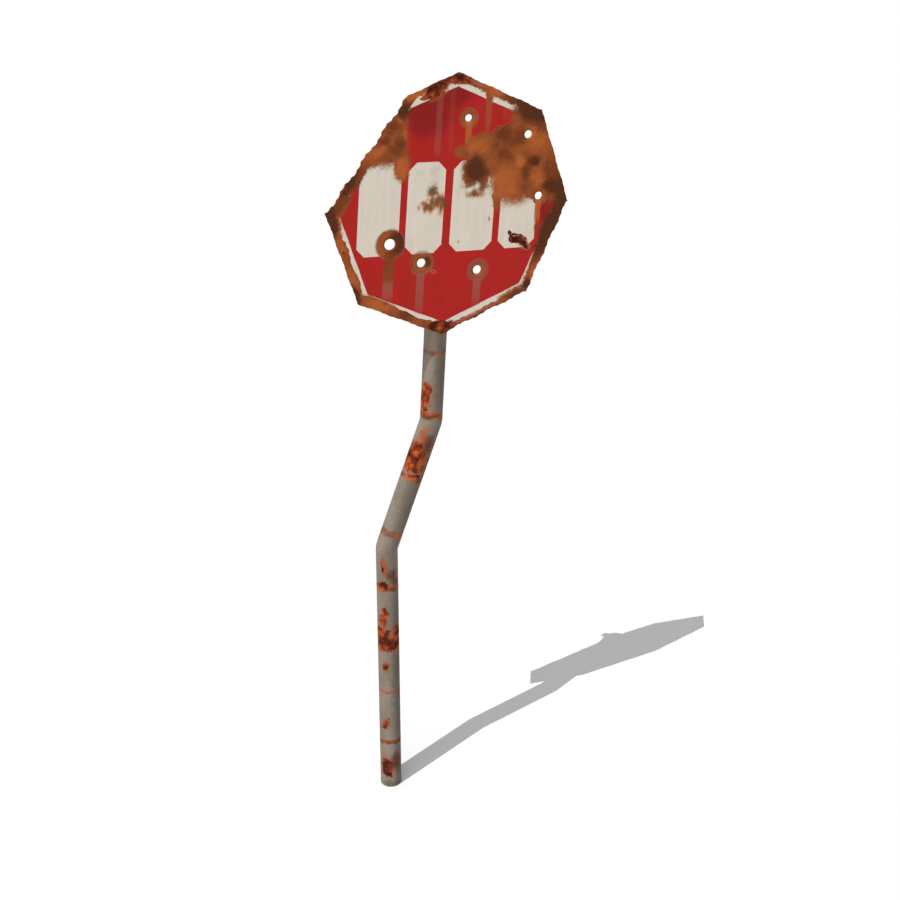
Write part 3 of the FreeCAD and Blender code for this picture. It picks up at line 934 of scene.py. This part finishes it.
class SIGN_OT_white_film(bpy.types.Operator):
    """Gives the white sheeting its yellowed colour, dirt, stains and rust"""

    bl_idname = "sign.white_film"
    bl_label = "Dress white sheeting"

    def execute(self, context):
        colours = context.scene.sign_colours
        graph, surface, place, weather = start_film("white_film", "white_sheeting")
        base = graph.coated(
            colours.white_film,
            (graph.times(weather["Streak"], 0.2), colours.white_dirty),
            (graph.times(weather["Grime"], 0.4), colours.white_dirty))
        finish_film(graph, surface, place, weather, base, 0.45)
        return {"FINISHED"}


class SIGN_OT_red_film(bpy.types.Operator):
    """Gives the red sheeting its faded colour, streaks, stains and rust"""

    bl_idname = "sign.red_film"
    bl_label = "Dress red sheeting"

    def execute(self, context):
        colours = context.scene.sign_colours
        graph, surface, place, weather = start_film("red_film", "red_sheeting")
        pushed = wandering(graph, place, 40.0, 10.0)
        deep = marked(graph, pushed, DEEP_RED_ZONES, 1.5, 0.5)
        base = graph.coated(
            colours.red_film,
            (deep, colours.red_deep),
            (graph.times(weather["Streak"], 0.16), colours.red_deep),
            (graph.times(weather["Grime"], 0.3), colours.rust_dark))
        finish_film(graph, surface, place, weather, base, 0.48)
        return {"FINISHED"}


# Rust on the post, in millimetres along it and degrees round it, 0 at +X and -90 at the front

# Crusts: run, distance along the run, heading, half width, half length
POST_CRUSTS = [
    ("upper", 112, -146, 18, 24),
    ("upper", 70, -156, 18, 28),
    ("upper", 92, -178, 14, 30),
    ("middle", 368, -146, 17, 22),
    ("middle", 336, -144, 26, 24),
    ("middle", 298, -138, 28, 20),
    ("middle", 334, -180, 18, 38),
    ("middle", 304, -88, 12, 10),
    ("middle", 270, -106, 20, 7),
    ("middle", 300, -42, 9, 90),
    ("lower", 900, -138, 6, 12),
    ("lower", 832, -140, 20, 17),
    ("lower", 728, -126, 11, 20),
    ("lower", 694, -142, 15, 26),
    ("lower", 626, -150, 32, 42),
    ("lower", 606, -100, 42, 26),
    ("lower", 648, -62, 17, 24),
    ("lower", 510, -128, 10, 16),
    ("lower", 276, -130, 12, 17),
    ("lower", 256, -150, 13, 9),
    ("lower", 84, -134, 21, 42),
    ("lower", 415, 60, 22, 40),
    ("lower", 810, 30, 18, 30),
    ("middle", 179, 50, 20, 46),
    ("lower", 128, 80, 26, 60),
    ("upper", 297, 70, 18, 40),
    ("upper", 178, 20, 15, 34),
]
# Bands that go right round: run, distance along the run, half height, strength
POST_BANDS = [
    ("upper", 242, 8, 0.6),
    ("upper", 28, 13, 0.95),
    ("middle", 57, 11, 0.7),
    ("middle", 258, 9, 0.9),
    ("lower", 822, 13, 0.95),
    ("lower", 592, 20, 1.0),
    ("lower", 404, 5, 0.8),
    ("lower", 192, 9, 0.95),
]
# Smears: as the crusts, and the kind of stain. The three long dark smears down the front and right of the
# runs are painted shade on the side turned from the light, not dirt; the two short dark ones near the foot
# darken it there
POST_SMEARS = [
    ("middle", 404, -130, 16, 36, "orange"),
    ("middle", 384, -92, 18, 30, "brown"),
    ("middle", 350, -106, 16, 24, "brown"),
    ("middle", 318, -112, 34, 60, "orange"),
    # Painted shade: darkens the middle run's front and right
    ("middle", 230, -84, 40, 240, "darkening"),
    ("middle", 360, -30, 14, 90, "brown"),
    ("lower", 926, -134, 9, 18, "orange"),
    ("lower", 896, -124, 13, 34, "orange"),
    ("lower", 510, -128, 14, 26, "orange"),
    ("lower", 868, -86, 19, 28, "brown"),
    ("lower", 846, -66, 12, 20, "brown"),
    ("lower", 110, -76, 22, 40, "brown"),
    # These two only darken the lower run near its foot
    ("lower", 90, -60, 22, 70, "darkening"),
    ("lower", 12, -100, 46, 14, "darkening"),
    ("upper", 26, -150, 26, 12, "brown"),
    # Painted shade: darkens the upper run's front and right
    ("upper", 150, -70, 32, 170, "darkening"),
    # Painted shade: darkens the lower run's front and right along its length
    ("lower", 450, -58, 26, 420, "darkening"),
]


def post_runs():
    """Start, direction and turn of each straight run of the post, in metres."""
    sizes = bpy.context.scene.sign_sizes
    aside = math.sin(sizes.middle_lean)
    middle = Vector((
        aside * math.cos(sizes.middle_heading), aside * math.sin(sizes.middle_heading),
        math.cos(sizes.middle_lean)))
    tip = Vector((-math.sin(sizes.turn_on_post), 0, math.cos(sizes.turn_on_post)))
    first = Vector((0, 0, sizes.first_kink))
    second = first + middle * sizes.middle_run
    return {
        "lower": (Vector((0, 0, 0)), Vector((0, 0, 1))),
        "middle": (first, middle),
        "upper": (second, sign_turn() @ tip),
    }


def post_spot(run, along, heading):
    """A point on the post's skin, in metres."""
    start, direction = post_runs()[run]
    out = Vector((math.cos(math.radians(heading)), math.sin(math.radians(heading)), 0))
    out -= direction * out.dot(direction)
    radius = bpy.context.scene.sign_sizes.post_radius
    return start + direction * (along * MM) + out.normalized() * radius


def run_places(graph, position):
    """The position in each run's own frame, in millimetres, with the run along Z."""
    places = {}
    for run, (start, direction) in post_runs().items():
        turn = run_turn(direction).to_euler()
        places[run] = graph.placed(position, start, turn, (MM, MM, MM))
    return places


def run_turn(direction):
    return Vector((0, 0, 1)).rotation_difference(direction).to_matrix()


def nearest_spot(graph, places, spots):
    """How far a position is from the nearest spot on the post: 0 at its centre, 1 on its edge."""
    reaches = []
    runs = post_runs()
    for run, along, heading, half_width, half_length in spots:
        start, direction = runs[run]
        spot = run_turn(direction).transposed() @ (post_spot(run, along, heading) - start) / MM
        halves = (half_width, half_width, half_length)
        reaches.append(ellipse_reach(graph, places[run], spot, halves))
    return graph.smaller(*reaches)


def band_mask(graph, places, wave):
    """Bands of rust that go right round the post, with a wavy edge."""
    mask = 0.0
    for run, along, half, strength in POST_BANDS:
        height = graph.parts(places[run])[2]
        off = graph.add(graph.minus(height, along), graph.times(wave, half * 1.6 + 14))
        ring = graph.step(graph.absolute(off), half * 1.4, half * 0.6, 0.0, strength)
        mask = graph.larger(mask, ring)
    return mask


class SIGN_OT_post(bpy.types.Operator):
    """Gives the post its weathered zinc, rust bands, crusted patches, smears and painted shade on its right
    """

    bl_idname = "sign.post"
    bl_label = "Dress post"

    def execute(self, context):
        colours = context.scene.sign_colours
        meshes = cad_meshes(["post"])
        graph, position, surface = finish_material("galvanised_post", meshes, POST_SHEEN)
        place = graph.scaled(position, 1 / MM)
        zinc = graph.use(build_zinc, place=place)
        push = graph.scaled(graph.noise_vector(place, 0.05, 4.0), POST_WANDER * MM)
        places = run_places(graph, position)
        pushed = run_places(graph, graph.vector("ADD", position, push))
        fray = graph.times(graph.minus(graph.noise(place, 0.13, 4.0, 0.65), 0.5), 1.1)
        reach = graph.add(nearest_spot(graph, pushed, POST_CRUSTS), fray)
        crust = graph.step(reach, 1.06, 0.94)
        wave = graph.minus(graph.noise(graph.scaled(place, (1, 1, 0.2)), 0.03, 3.0), 0.5)
        bands = band_mask(graph, places, wave)
        grain = graph.noise(place, 0.09, 5.0, 0.65)
        bands = graph.times(bands, graph.step(grain, 0.3, 0.5, 0.6, 1.0))
        stained = {}
        for kind in ("orange", "brown", "darkening"):
            spots = [spot[:5] for spot in POST_SMEARS if spot[5] == kind]
            stained[kind] = graph.step(nearest_spot(graph, pushed, spots), 1.45, 0.4)
        halo = graph.times(graph.step(reach, 1.7, 1.0), 0.45)
        # Dark zinc from the long dark smears is painted shade down the front and right of each run; tan and
        # dark rust come from the crusts' halos and the orange and brown smears
        base = graph.coated(
            zinc["Colour"],
            (graph.times(stained["darkening"], 0.55), colours.zinc_dark),
            (graph.larger(halo, graph.times(stained["orange"], 0.92)), colours.rust_tan),
            (graph.times(stained["brown"], 0.85), colours.rust_dark))
        blotch = graph.noise(graph.scaled(place, (1, 1, 1.6)), 0.028, 3.0)
        tone = graph.add(graph.step(blotch, 0.38, 0.62, 0.05, 0.6), graph.times(grain, 0.45))
        tone = graph.larger(tone, graph.times(crust, 0.68))
        look = graph.use(build_rust_look, place=place, tone=tone, crust=crust)
        rusted = graph.larger(crust, bands)
        shown = graph.mix(rusted, base, look["Colour"])
        roughness = graph.blend(rusted, zinc["Roughness"], look["Roughness"])
        flat = graph.bump(graph.times(zinc["Mottle"], 0.15), 0.5, ZINC_WAVES)
        normal = rusted_normal(graph, place, rusted, crust, flat)
        shine = graph.times(graph.rest(rusted), 0.08)
        dress_surface(graph, surface, shown, roughness, normal, shine)
        return {"FINISHED"}


def dress_zinc_pieces(name, nodes, rust_share, scale, pit_depth=SHEET_PITS):
    """A zinc finish with rust breaking through, used on rails, straps, bolts and the post's cap."""
    graph, position, surface = finish_material(name, cad_meshes(nodes), PLATED_SHEEN)
    place = graph.scaled(position, 1 / MM)
    zinc = graph.use(build_zinc, place=place)
    patch = graph.noise(place, scale, 5.0, 0.62)
    rusted = graph.step(patch, 0.62 - rust_share * 0.3, 0.7 - rust_share * 0.3)
    tone = graph.step(graph.noise(place, scale * 2.5, 4.0), 0.3, 0.7, 0.1, 0.9)
    look = graph.use(build_rust_look, place=place, tone=tone, crust=0.0)
    shown = graph.mix(rusted, zinc["Colour"], look["Colour"])
    roughness = graph.blend(rusted, zinc["Roughness"], look["Roughness"])
    flat = graph.bump(graph.times(zinc["Mottle"], 0.1), 0.5, PLATED_WAVES)
    normal = rusted_normal(graph, place, rusted, 0.0, flat, pit_depth)
    shine = graph.times(graph.rest(rusted), 0.4)
    dress_surface(graph, surface, shown, roughness, normal, shine)


class SIGN_OT_fittings(bpy.types.Operator):
    """Gives the rails, clamp straps, bolts, nuts and the post's cap their rusting zinc"""

    bl_idname = "sign.fittings"
    bl_label = "Dress fittings"

    def execute(self, context):
        rails = [end + "_rail" for end in ENDS]
        straps = [end + "_clamp_" + side for end in ENDS for side in SIDES]
        bolts = [end + "_clamp_" + part for end in ENDS for part in ("bolt", "nut")]
        dress_zinc_pieces("galvanised_rail", rails, 0.25, 0.03)
        dress_zinc_pieces("plated_strap", straps, 0.45, 0.06, STRAP_PITS)
        dress_zinc_pieces("plated_bolt", bolts, 0.8, 0.12, BOLT_PITS)
        dress_zinc_pieces("galvanised_cap", ["post_cap"], 0.3, 0.04)
        return {"FINISHED"}


class SIGN_OT_rail_caps(bpy.types.Operator):
    """Gives the rails' end caps their chalked black plastic"""

    bl_idname = "sign.rail_caps"
    bl_label = "Dress rail caps"

    def execute(self, context):
        colours = context.scene.sign_colours
        nodes = [end + "_rail_cap_" + side for end in ENDS for side in SIDES]
        graph, position, surface = finish_material("black_cap", cad_meshes(nodes), PLASTIC_SHEEN)
        place = graph.scaled(position, 1 / MM)
        chalk = graph.noise(place, 0.08, 5.0, 0.6)
        grain = graph.noise(place, 1.2, 2.0)
        base = graph.mix(graph.step(chalk, 0.4, 0.75), colours.cap_black, colours.zinc_dark)
        roughness = graph.step(chalk, 0.3, 0.7, 0.55, 0.85)
        dress_surface(graph, surface, base, roughness, graph.bump(grain, 0.25, FINE_GRAIN))
        return {"FINISHED"}


# Small pieces modelled here: the threads of the clamp bolts and the curls of torn film

# Curls of film along the torn chip, in millimetres from the plate's centre: where the torn edge
# starts (across, up), where it ends, how far the flap reaches, and how far it has rolled, in degrees
CURLS = [
    (213, -95, 223, -102, 4.0, 150),
    (225, -102, 239, -103, 7.5, 185),
    (240, -103, 252, -104, 5.5, 150),
    (253, -105, 264, -116, 8.5, 205),
    (265, -117, 277, -127, 6.0, 165),
    (278, -129, 285, -146, 8.0, 190),
    (269, -150, 259, -138, 5.5, 170),
    (255, -134, 243, -129, 7.0, 150),
    (222, -125, 216, -108, 4.5, 190),
]
CURL_COLUMNS = 8
CURL_ROWS = 6
# How far past its last column a flap would come to a point, in columns, how round its outline is,
# and how unevenly it is torn
CURL_TIP = 0.6
CURL_ROUNDNESS = 0.6
CURL_RAGGED = 0.14
# How much less than its share the first row turns, and the last row more
CURL_TIGHTENING = 0.3
CURL_SMOOTH_DEG = 40
# Where a curl's root lies: in front of the plate, and outwards from the torn edge, in millimetres
CURL_FORWARD = 0.6
CURL_OUTWARD = 0.4
# Turns of a bolt's thread, and steps in each turn
THREAD_TURNS = 5
THREAD_STEPS = 24
# Points closer than this are merged, in metres
MERGE_REACH = 0.00001


def active_mesh():
    return bmesh.from_edit_mesh(bpy.context.object.data)


def choose(vertices):
    """Selects just these vertices of the mesh that is being edited."""
    bpy.ops.mesh.select_all(action="DESELECT")
    for vertex in vertices:
        vertex.select = True
    active_mesh().select_flush(True)
    bmesh.update_edit_mesh(bpy.context.object.data)


def pick(*pieces):
    """Selects just these objects, and makes the first one active."""
    bpy.ops.object.select_all(action="DESELECT")
    for piece in pieces:
        piece.select_set(True)
    if pieces:
        bpy.context.view_layer.objects.active = pieces[0]


def settle(piece, turn, place):
    """Turns a finished mesh and moves it to its place, with its object left at the origin."""
    pick(piece)
    piece.matrix_world = Matrix.Translation(place) @ turn.to_4x4()
    bpy.ops.object.transform_apply(location=True, rotation=True, scale=True)


def apply_modifiers(piece):
    for modifier in list(piece.modifiers):
        bpy.ops.object.modifier_apply(modifier=modifier.name)


def turn_outwards():
    """Makes all faces of the active mesh point outwards."""
    bpy.ops.object.mode_set(mode="EDIT")
    bpy.ops.mesh.select_all(action="SELECT")
    bpy.ops.mesh.normals_make_consistent(inside=False)
    bpy.ops.object.mode_set(mode="OBJECT")


class SIGN_OT_bolt_threads(bpy.types.Operator):
    """Winds a thread round the end of each clamp bolt that stands out of its nut"""

    bl_idname = "sign.bolt_threads"
    bl_label = "Cut bolt threads"

    def execute(self, context):
        sizes = context.scene.sign_sizes
        upper = self.wind(sizes)
        lower = upper.copy()
        lower.data = upper.data.copy()
        context.scene.collection.objects.link(lower)
        levels = (0.0, -sizes.lower_rail_drop)
        for end, thread, level in zip(ENDS, (upper, lower), levels):
            thread.name = end + "_bolt_thread"
            self.seat(thread, level, sizes)
            thread.data.materials.append(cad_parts[end + "_clamp_bolt"].data.materials[0])
            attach(thread, "root")
        return {"FINISHED"}

    def wind(self, sizes):
        """A ridge wound along Z round the bolt's own axis, closed at both ends."""
        pick()
        bpy.ops.mesh.primitive_circle_add(
            vertices=3, radius=sizes.thread_height, location=(sizes.thread_radius, 0, 0),
            rotation=(math.radians(90), 0, 0))
        thread = bpy.context.object
        bpy.ops.object.transform_apply(location=True, rotation=True, scale=True)
        screw = thread.modifiers.new("turns", "SCREW")
        screw.screw_offset = sizes.thread_pitch
        screw.iterations = THREAD_TURNS
        screw.steps = screw.render_steps = THREAD_STEPS
        screw.use_smooth_shade = False
        apply_modifiers(thread)
        bpy.ops.object.mode_set(mode="EDIT")
        bpy.ops.mesh.select_all(action="SELECT")
        bpy.ops.mesh.remove_doubles(threshold=MERGE_REACH)
        bpy.ops.mesh.fill_holes(sides=0)
        bpy.ops.object.mode_set(mode="OBJECT")
        turn_outwards()
        return thread

    def seat(self, thread, level, sizes):
        """Lays the thread along its bolt, which crosses behind the post at the rail's level."""
        slip = Matrix.Rotation(-sizes.turn_on_post, 3, "Y")
        turn = sign_turn() @ slip
        along_post = turn @ Vector((0, 0, 1))
        to_post = sizes.plate_gauge + sizes.rail_depth + sizes.post_radius
        middle = sign_centre() + sign_turn() @ Vector((0, to_post, 0))
        middle += along_post * (level / math.cos(sizes.turn_on_post))
        start = middle + turn @ Vector((sizes.thread_start, sizes.bolt_offset, 0))
        settle(thread, turn @ Matrix.Rotation(math.radians(90), 3, "Y"), start)


class SIGN_OT_film_curls(bpy.types.Operator):
    """Rolls back small curls of film along the torn chip"""

    bl_idname = "sign.film_curls"
    bl_label = "Roll film curls"

    def execute(self, context):
        sizes = context.scene.sign_sizes
        curls = [self.roll(sizes, *curl) for curl in CURLS]
        pick(*curls)
        bpy.ops.object.join()
        piece = bpy.context.object
        piece.name = "film_curls"
        bpy.ops.object.shade_smooth_by_angle(angle=math.radians(CURL_SMOOTH_DEG))
        self.dress(context, piece)
        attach(piece, "root")
        return {"FINISHED"}

    def roll(self, sizes, across, up, end_across, end_up, reach, roll):
        """One flap, cut to a ragged crescent and rolled back from its root along the torn edge."""
        span = math.hypot(end_across - across, end_up - up)
        heading = math.atan2(end_up - up, end_across - across)
        pick()
        bpy.ops.mesh.primitive_grid_add(
            x_subdivisions=CURL_COLUMNS, y_subdivisions=CURL_ROWS, size=1, location=(0, 0, 0))
        curl = bpy.context.object
        bpy.ops.object.mode_set(mode="EDIT")
        bpy.ops.transform.resize(value=(span * MM, reach * MM, 1))
        bpy.ops.transform.translate(value=(span * MM / 2, -reach * MM / 2, 0))
        self.cut_ragged(span, across)
        self.roll_rows(math.radians(roll))
        bpy.ops.mesh.select_all(action="DESELECT")
        bpy.ops.object.mode_set(mode="OBJECT")
        wall = curl.modifiers.new("wall", "SOLIDIFY")
        wall.thickness = sizes.film_gauge
        wall.offset = 0
        apply_modifiers(curl)
        turn_outwards()
        flat = Matrix.Rotation(math.radians(90), 3, "X")
        facing = Matrix.Rotation(-heading, 3, "Y")
        outward = Vector((-math.sin(heading), 0, math.cos(heading))) * CURL_OUTWARD
        root = Vector((across, -CURL_FORWARD, up)) + outward
        settle(curl, sign_turn() @ facing @ flat, sign_centre() + sign_turn() @ root * MM)
        return curl

    def cut_ragged(self, span, seed):
        """Shortens the flap towards its two ends, unevenly."""
        columns = {}
        for vertex in active_mesh().verts:
            column = round(vertex.co.x / (span * MM) * CURL_COLUMNS)
            columns.setdefault(column, []).append(vertex.index)
        for column, indices in columns.items():
            way = (column + CURL_TIP) / (CURL_COLUMNS + 2 * CURL_TIP)
            share = math.sin(math.pi * way) ** CURL_ROUNDNESS
            share *= 1 - CURL_RAGGED + CURL_RAGGED * math.sin(seed + 2.3 * column)
            mesh = active_mesh()
            mesh.verts.ensure_lookup_table()
            choose([mesh.verts[index] for index in indices])
            bpy.ops.transform.resize(value=(1, share, 1), center_override=(0, 0, 0))

    def roll_rows(self, roll):
        """Turns each row of the flap about the one before it, tighter towards the free edge."""
        per_row = CURL_COLUMNS + 1
        for row in range(CURL_ROWS):
            mesh = active_mesh()
            mesh.verts.ensure_lookup_table()
            free = CURL_ROWS - row
            hinge = mesh.verts[free * per_row + per_row // 2].co.copy()
            choose([mesh.verts[index] for index in range(free * per_row)])
            change = CURL_TIGHTENING * (2 * row / (CURL_ROWS - 1) - 1)
            step = roll / CURL_ROWS * (1 + change)
            bpy.ops.transform.rotate(value=step, orient_axis="X", center_override=hinge)

    def dress(self, context, piece):
        colours = context.scene.sign_colours
        graph, position, surface = finish_material("curled_film", [piece.data], FILM_SHEEN)
        place = graph.scaled(position, 1 / MM)
        darkening = graph.noise(place, 0.16, 4.0, 0.6)
        edge = graph.noise(place, 0.5, 3.0)
        base = graph.coated(
            colours.torn_edge,
            (graph.step(darkening, 0.35, 0.62), colours.rust_brown),
            (graph.step(edge, 0.55, 0.75, 0.0, 0.6), colours.white_dirty))
        normal = graph.bump(edge, 0.3, FINE_GRAIN)
        dress_surface(graph, surface, base, graph.step(darkening, 0.3, 0.7, 0.5, 0.8), normal)


# Stage: where the photograph was taken from and how it was lit

CAMERA_PLACE = (-1.9752, -4.6598, 3.9601)
CAMERA_PITCH_DEG = 27.53
CAMERA_HEADING_DEG = -25.34
CAMERA_LENS = 71.05
CAMERA_SENSOR = 36
CAMERA_REACH = 100
SUN_TRAVEL = (0.4375, 0.1802, -1.0)
FILL_TRAVEL = (0.72, 0.62, -0.42)
SUN_SPREAD_DEG = 0.05
FILL_SPREAD_DEG = 50
FLOOR_HALF = 30.0


def add_sun(name, travel, strength, spread_deg):
    lamp = bpy.data.lights.new(name, "SUN")
    lamp.energy = strength
    lamp.angle = math.radians(spread_deg)
    made = bpy.data.objects.new(name, lamp)
    made.rotation_euler = Vector(travel).to_track_quat("-Z", "Y").to_euler()
    bpy.context.scene.collection.objects.link(made)


class SIGN_OT_stage(bpy.types.Operator):
    """Sets the camera, the lamps, the even sky and the pale floor"""

    bl_idname = "sign.stage"
    bl_label = "Set stage"

    def execute(self, context):
        self.add_camera(context)
        stage = context.scene.sign_stage
        add_sun("sun", SUN_TRAVEL, stage.sun_strength, SUN_SPREAD_DEG)
        add_sun("fill", FILL_TRAVEL, stage.fill_strength, FILL_SPREAD_DEG)
        self.set_sky(context, stage.sky_strength)
        self.add_floor(stage)
        context.scene.view_settings.view_transform = "Standard"
        return {"FINISHED"}

    def add_camera(self, context):
        camera = bpy.data.cameras.new("camera")
        camera.lens = CAMERA_LENS
        camera.sensor_width = CAMERA_SENSOR
        camera.clip_end = CAMERA_REACH
        made = bpy.data.objects.new("camera", camera)
        made.location = CAMERA_PLACE
        made.rotation_euler = (
            math.radians(90 - CAMERA_PITCH_DEG), 0, math.radians(CAMERA_HEADING_DEG))
        context.scene.collection.objects.link(made)
        context.scene.camera = made

    def set_sky(self, context, level):
        world = bpy.data.worlds.new("sky")
        context.scene.world = world
        world.use_nodes = True
        world.node_tree.nodes.clear()
        graph = Graph(world.node_tree)
        path = graph.node("ShaderNodeLightPath").outputs
        seen = graph.larger(
            path["Is Camera Ray"], path["Is Glossy Ray"], path["Is Transmission Ray"])
        strength = graph.blend(seen, level, 1.0)
        sky = graph.node("ShaderNodeBackground", {"Color": (1, 1, 1), "Strength": strength})
        end = graph.node("ShaderNodeOutputWorld")
        graph.feed(end.inputs[0], sky.outputs[0])

    def add_floor(self, stage):
        pick()
        bpy.ops.mesh.primitive_plane_add(size=2 * FLOOR_HALF)
        floor = bpy.context.object
        floor.name = "floor"
        material, graph, end = new_material("floor")
        path = graph.node("ShaderNodeLightPath").outputs
        plain = graph.node("ShaderNodeBsdfDiffuse", {"Color": stage.floor_tone}).outputs[0]
        white = graph.node("ShaderNodeBsdfDiffuse", {"Color": (stage.floor_share,) * 3}).outputs[0]
        lift = graph.node(
            "ShaderNodeEmission", {"Color": (1, 1, 1), "Strength": stage.floor_glow}).outputs[0]
        lifted = graph.node("ShaderNodeAddShader", {0: white, 1: lift}).outputs[0]
        seen = graph.node("ShaderNodeMixShader", {0: path["Is Camera Ray"], 1: plain, 2: lifted})
        graph.feed(end, seen.outputs[0])
        floor.data.materials.append(material)


class SIGN_PT_panel(bpy.types.Panel):
    """Lists the sign's finishes, sizes and stage"""

    bl_idname = "SIGN_PT_panel"
    bl_label = "Rusted Stop Sign"
    bl_space_type = "VIEW_3D"
    bl_region_type = "UI"
    bl_category = "Sign"

    def draw(self, context):
        for settings in (
                context.scene.sign_sizes, context.scene.sign_colours, context.scene.sign_stage):
            column = self.layout.column()
            for name in settings.__annotations__:
                column.prop(settings, name)
        for operator in OPERATORS:
            self.layout.operator(operator.bl_idname)


SETTINGS = {
    "sign_sizes": SignSizes,
    "sign_colours": SignColours,
    "sign_stage": StageSettings,
}
OPERATORS = (
    SIGN_OT_plate,
    SIGN_OT_white_film,
    SIGN_OT_red_film,
    SIGN_OT_post,
    SIGN_OT_fittings,
    SIGN_OT_rail_caps,
    SIGN_OT_bolt_threads,
    SIGN_OT_film_curls,
    SIGN_OT_stage,
)
CLASSES = (*SETTINGS.values(), *OPERATORS, SIGN_PT_panel)


def register():
    for cls in CLASSES:
        bpy.utils.register_class(cls)
    for name, cls in SETTINGS.items():
        setattr(bpy.types.Scene, name, bpy.props.PointerProperty(type=cls))


def unregister():
    for name in SETTINGS:
        delattr(bpy.types.Scene, name)
    for cls in reversed(CLASSES):
        bpy.utils.unregister_class(cls)


def main():
    register()
    bpy.ops.sign.plate()
    bpy.ops.sign.white_film()
    bpy.ops.sign.red_film()
    bpy.ops.sign.post()
    bpy.ops.sign.fittings()
    bpy.ops.sign.rail_caps()
    bpy.ops.sign.bolt_threads()
    bpy.ops.sign.film_curls()
    bpy.ops.sign.stage()


if __name__ == "__main__":
    main()
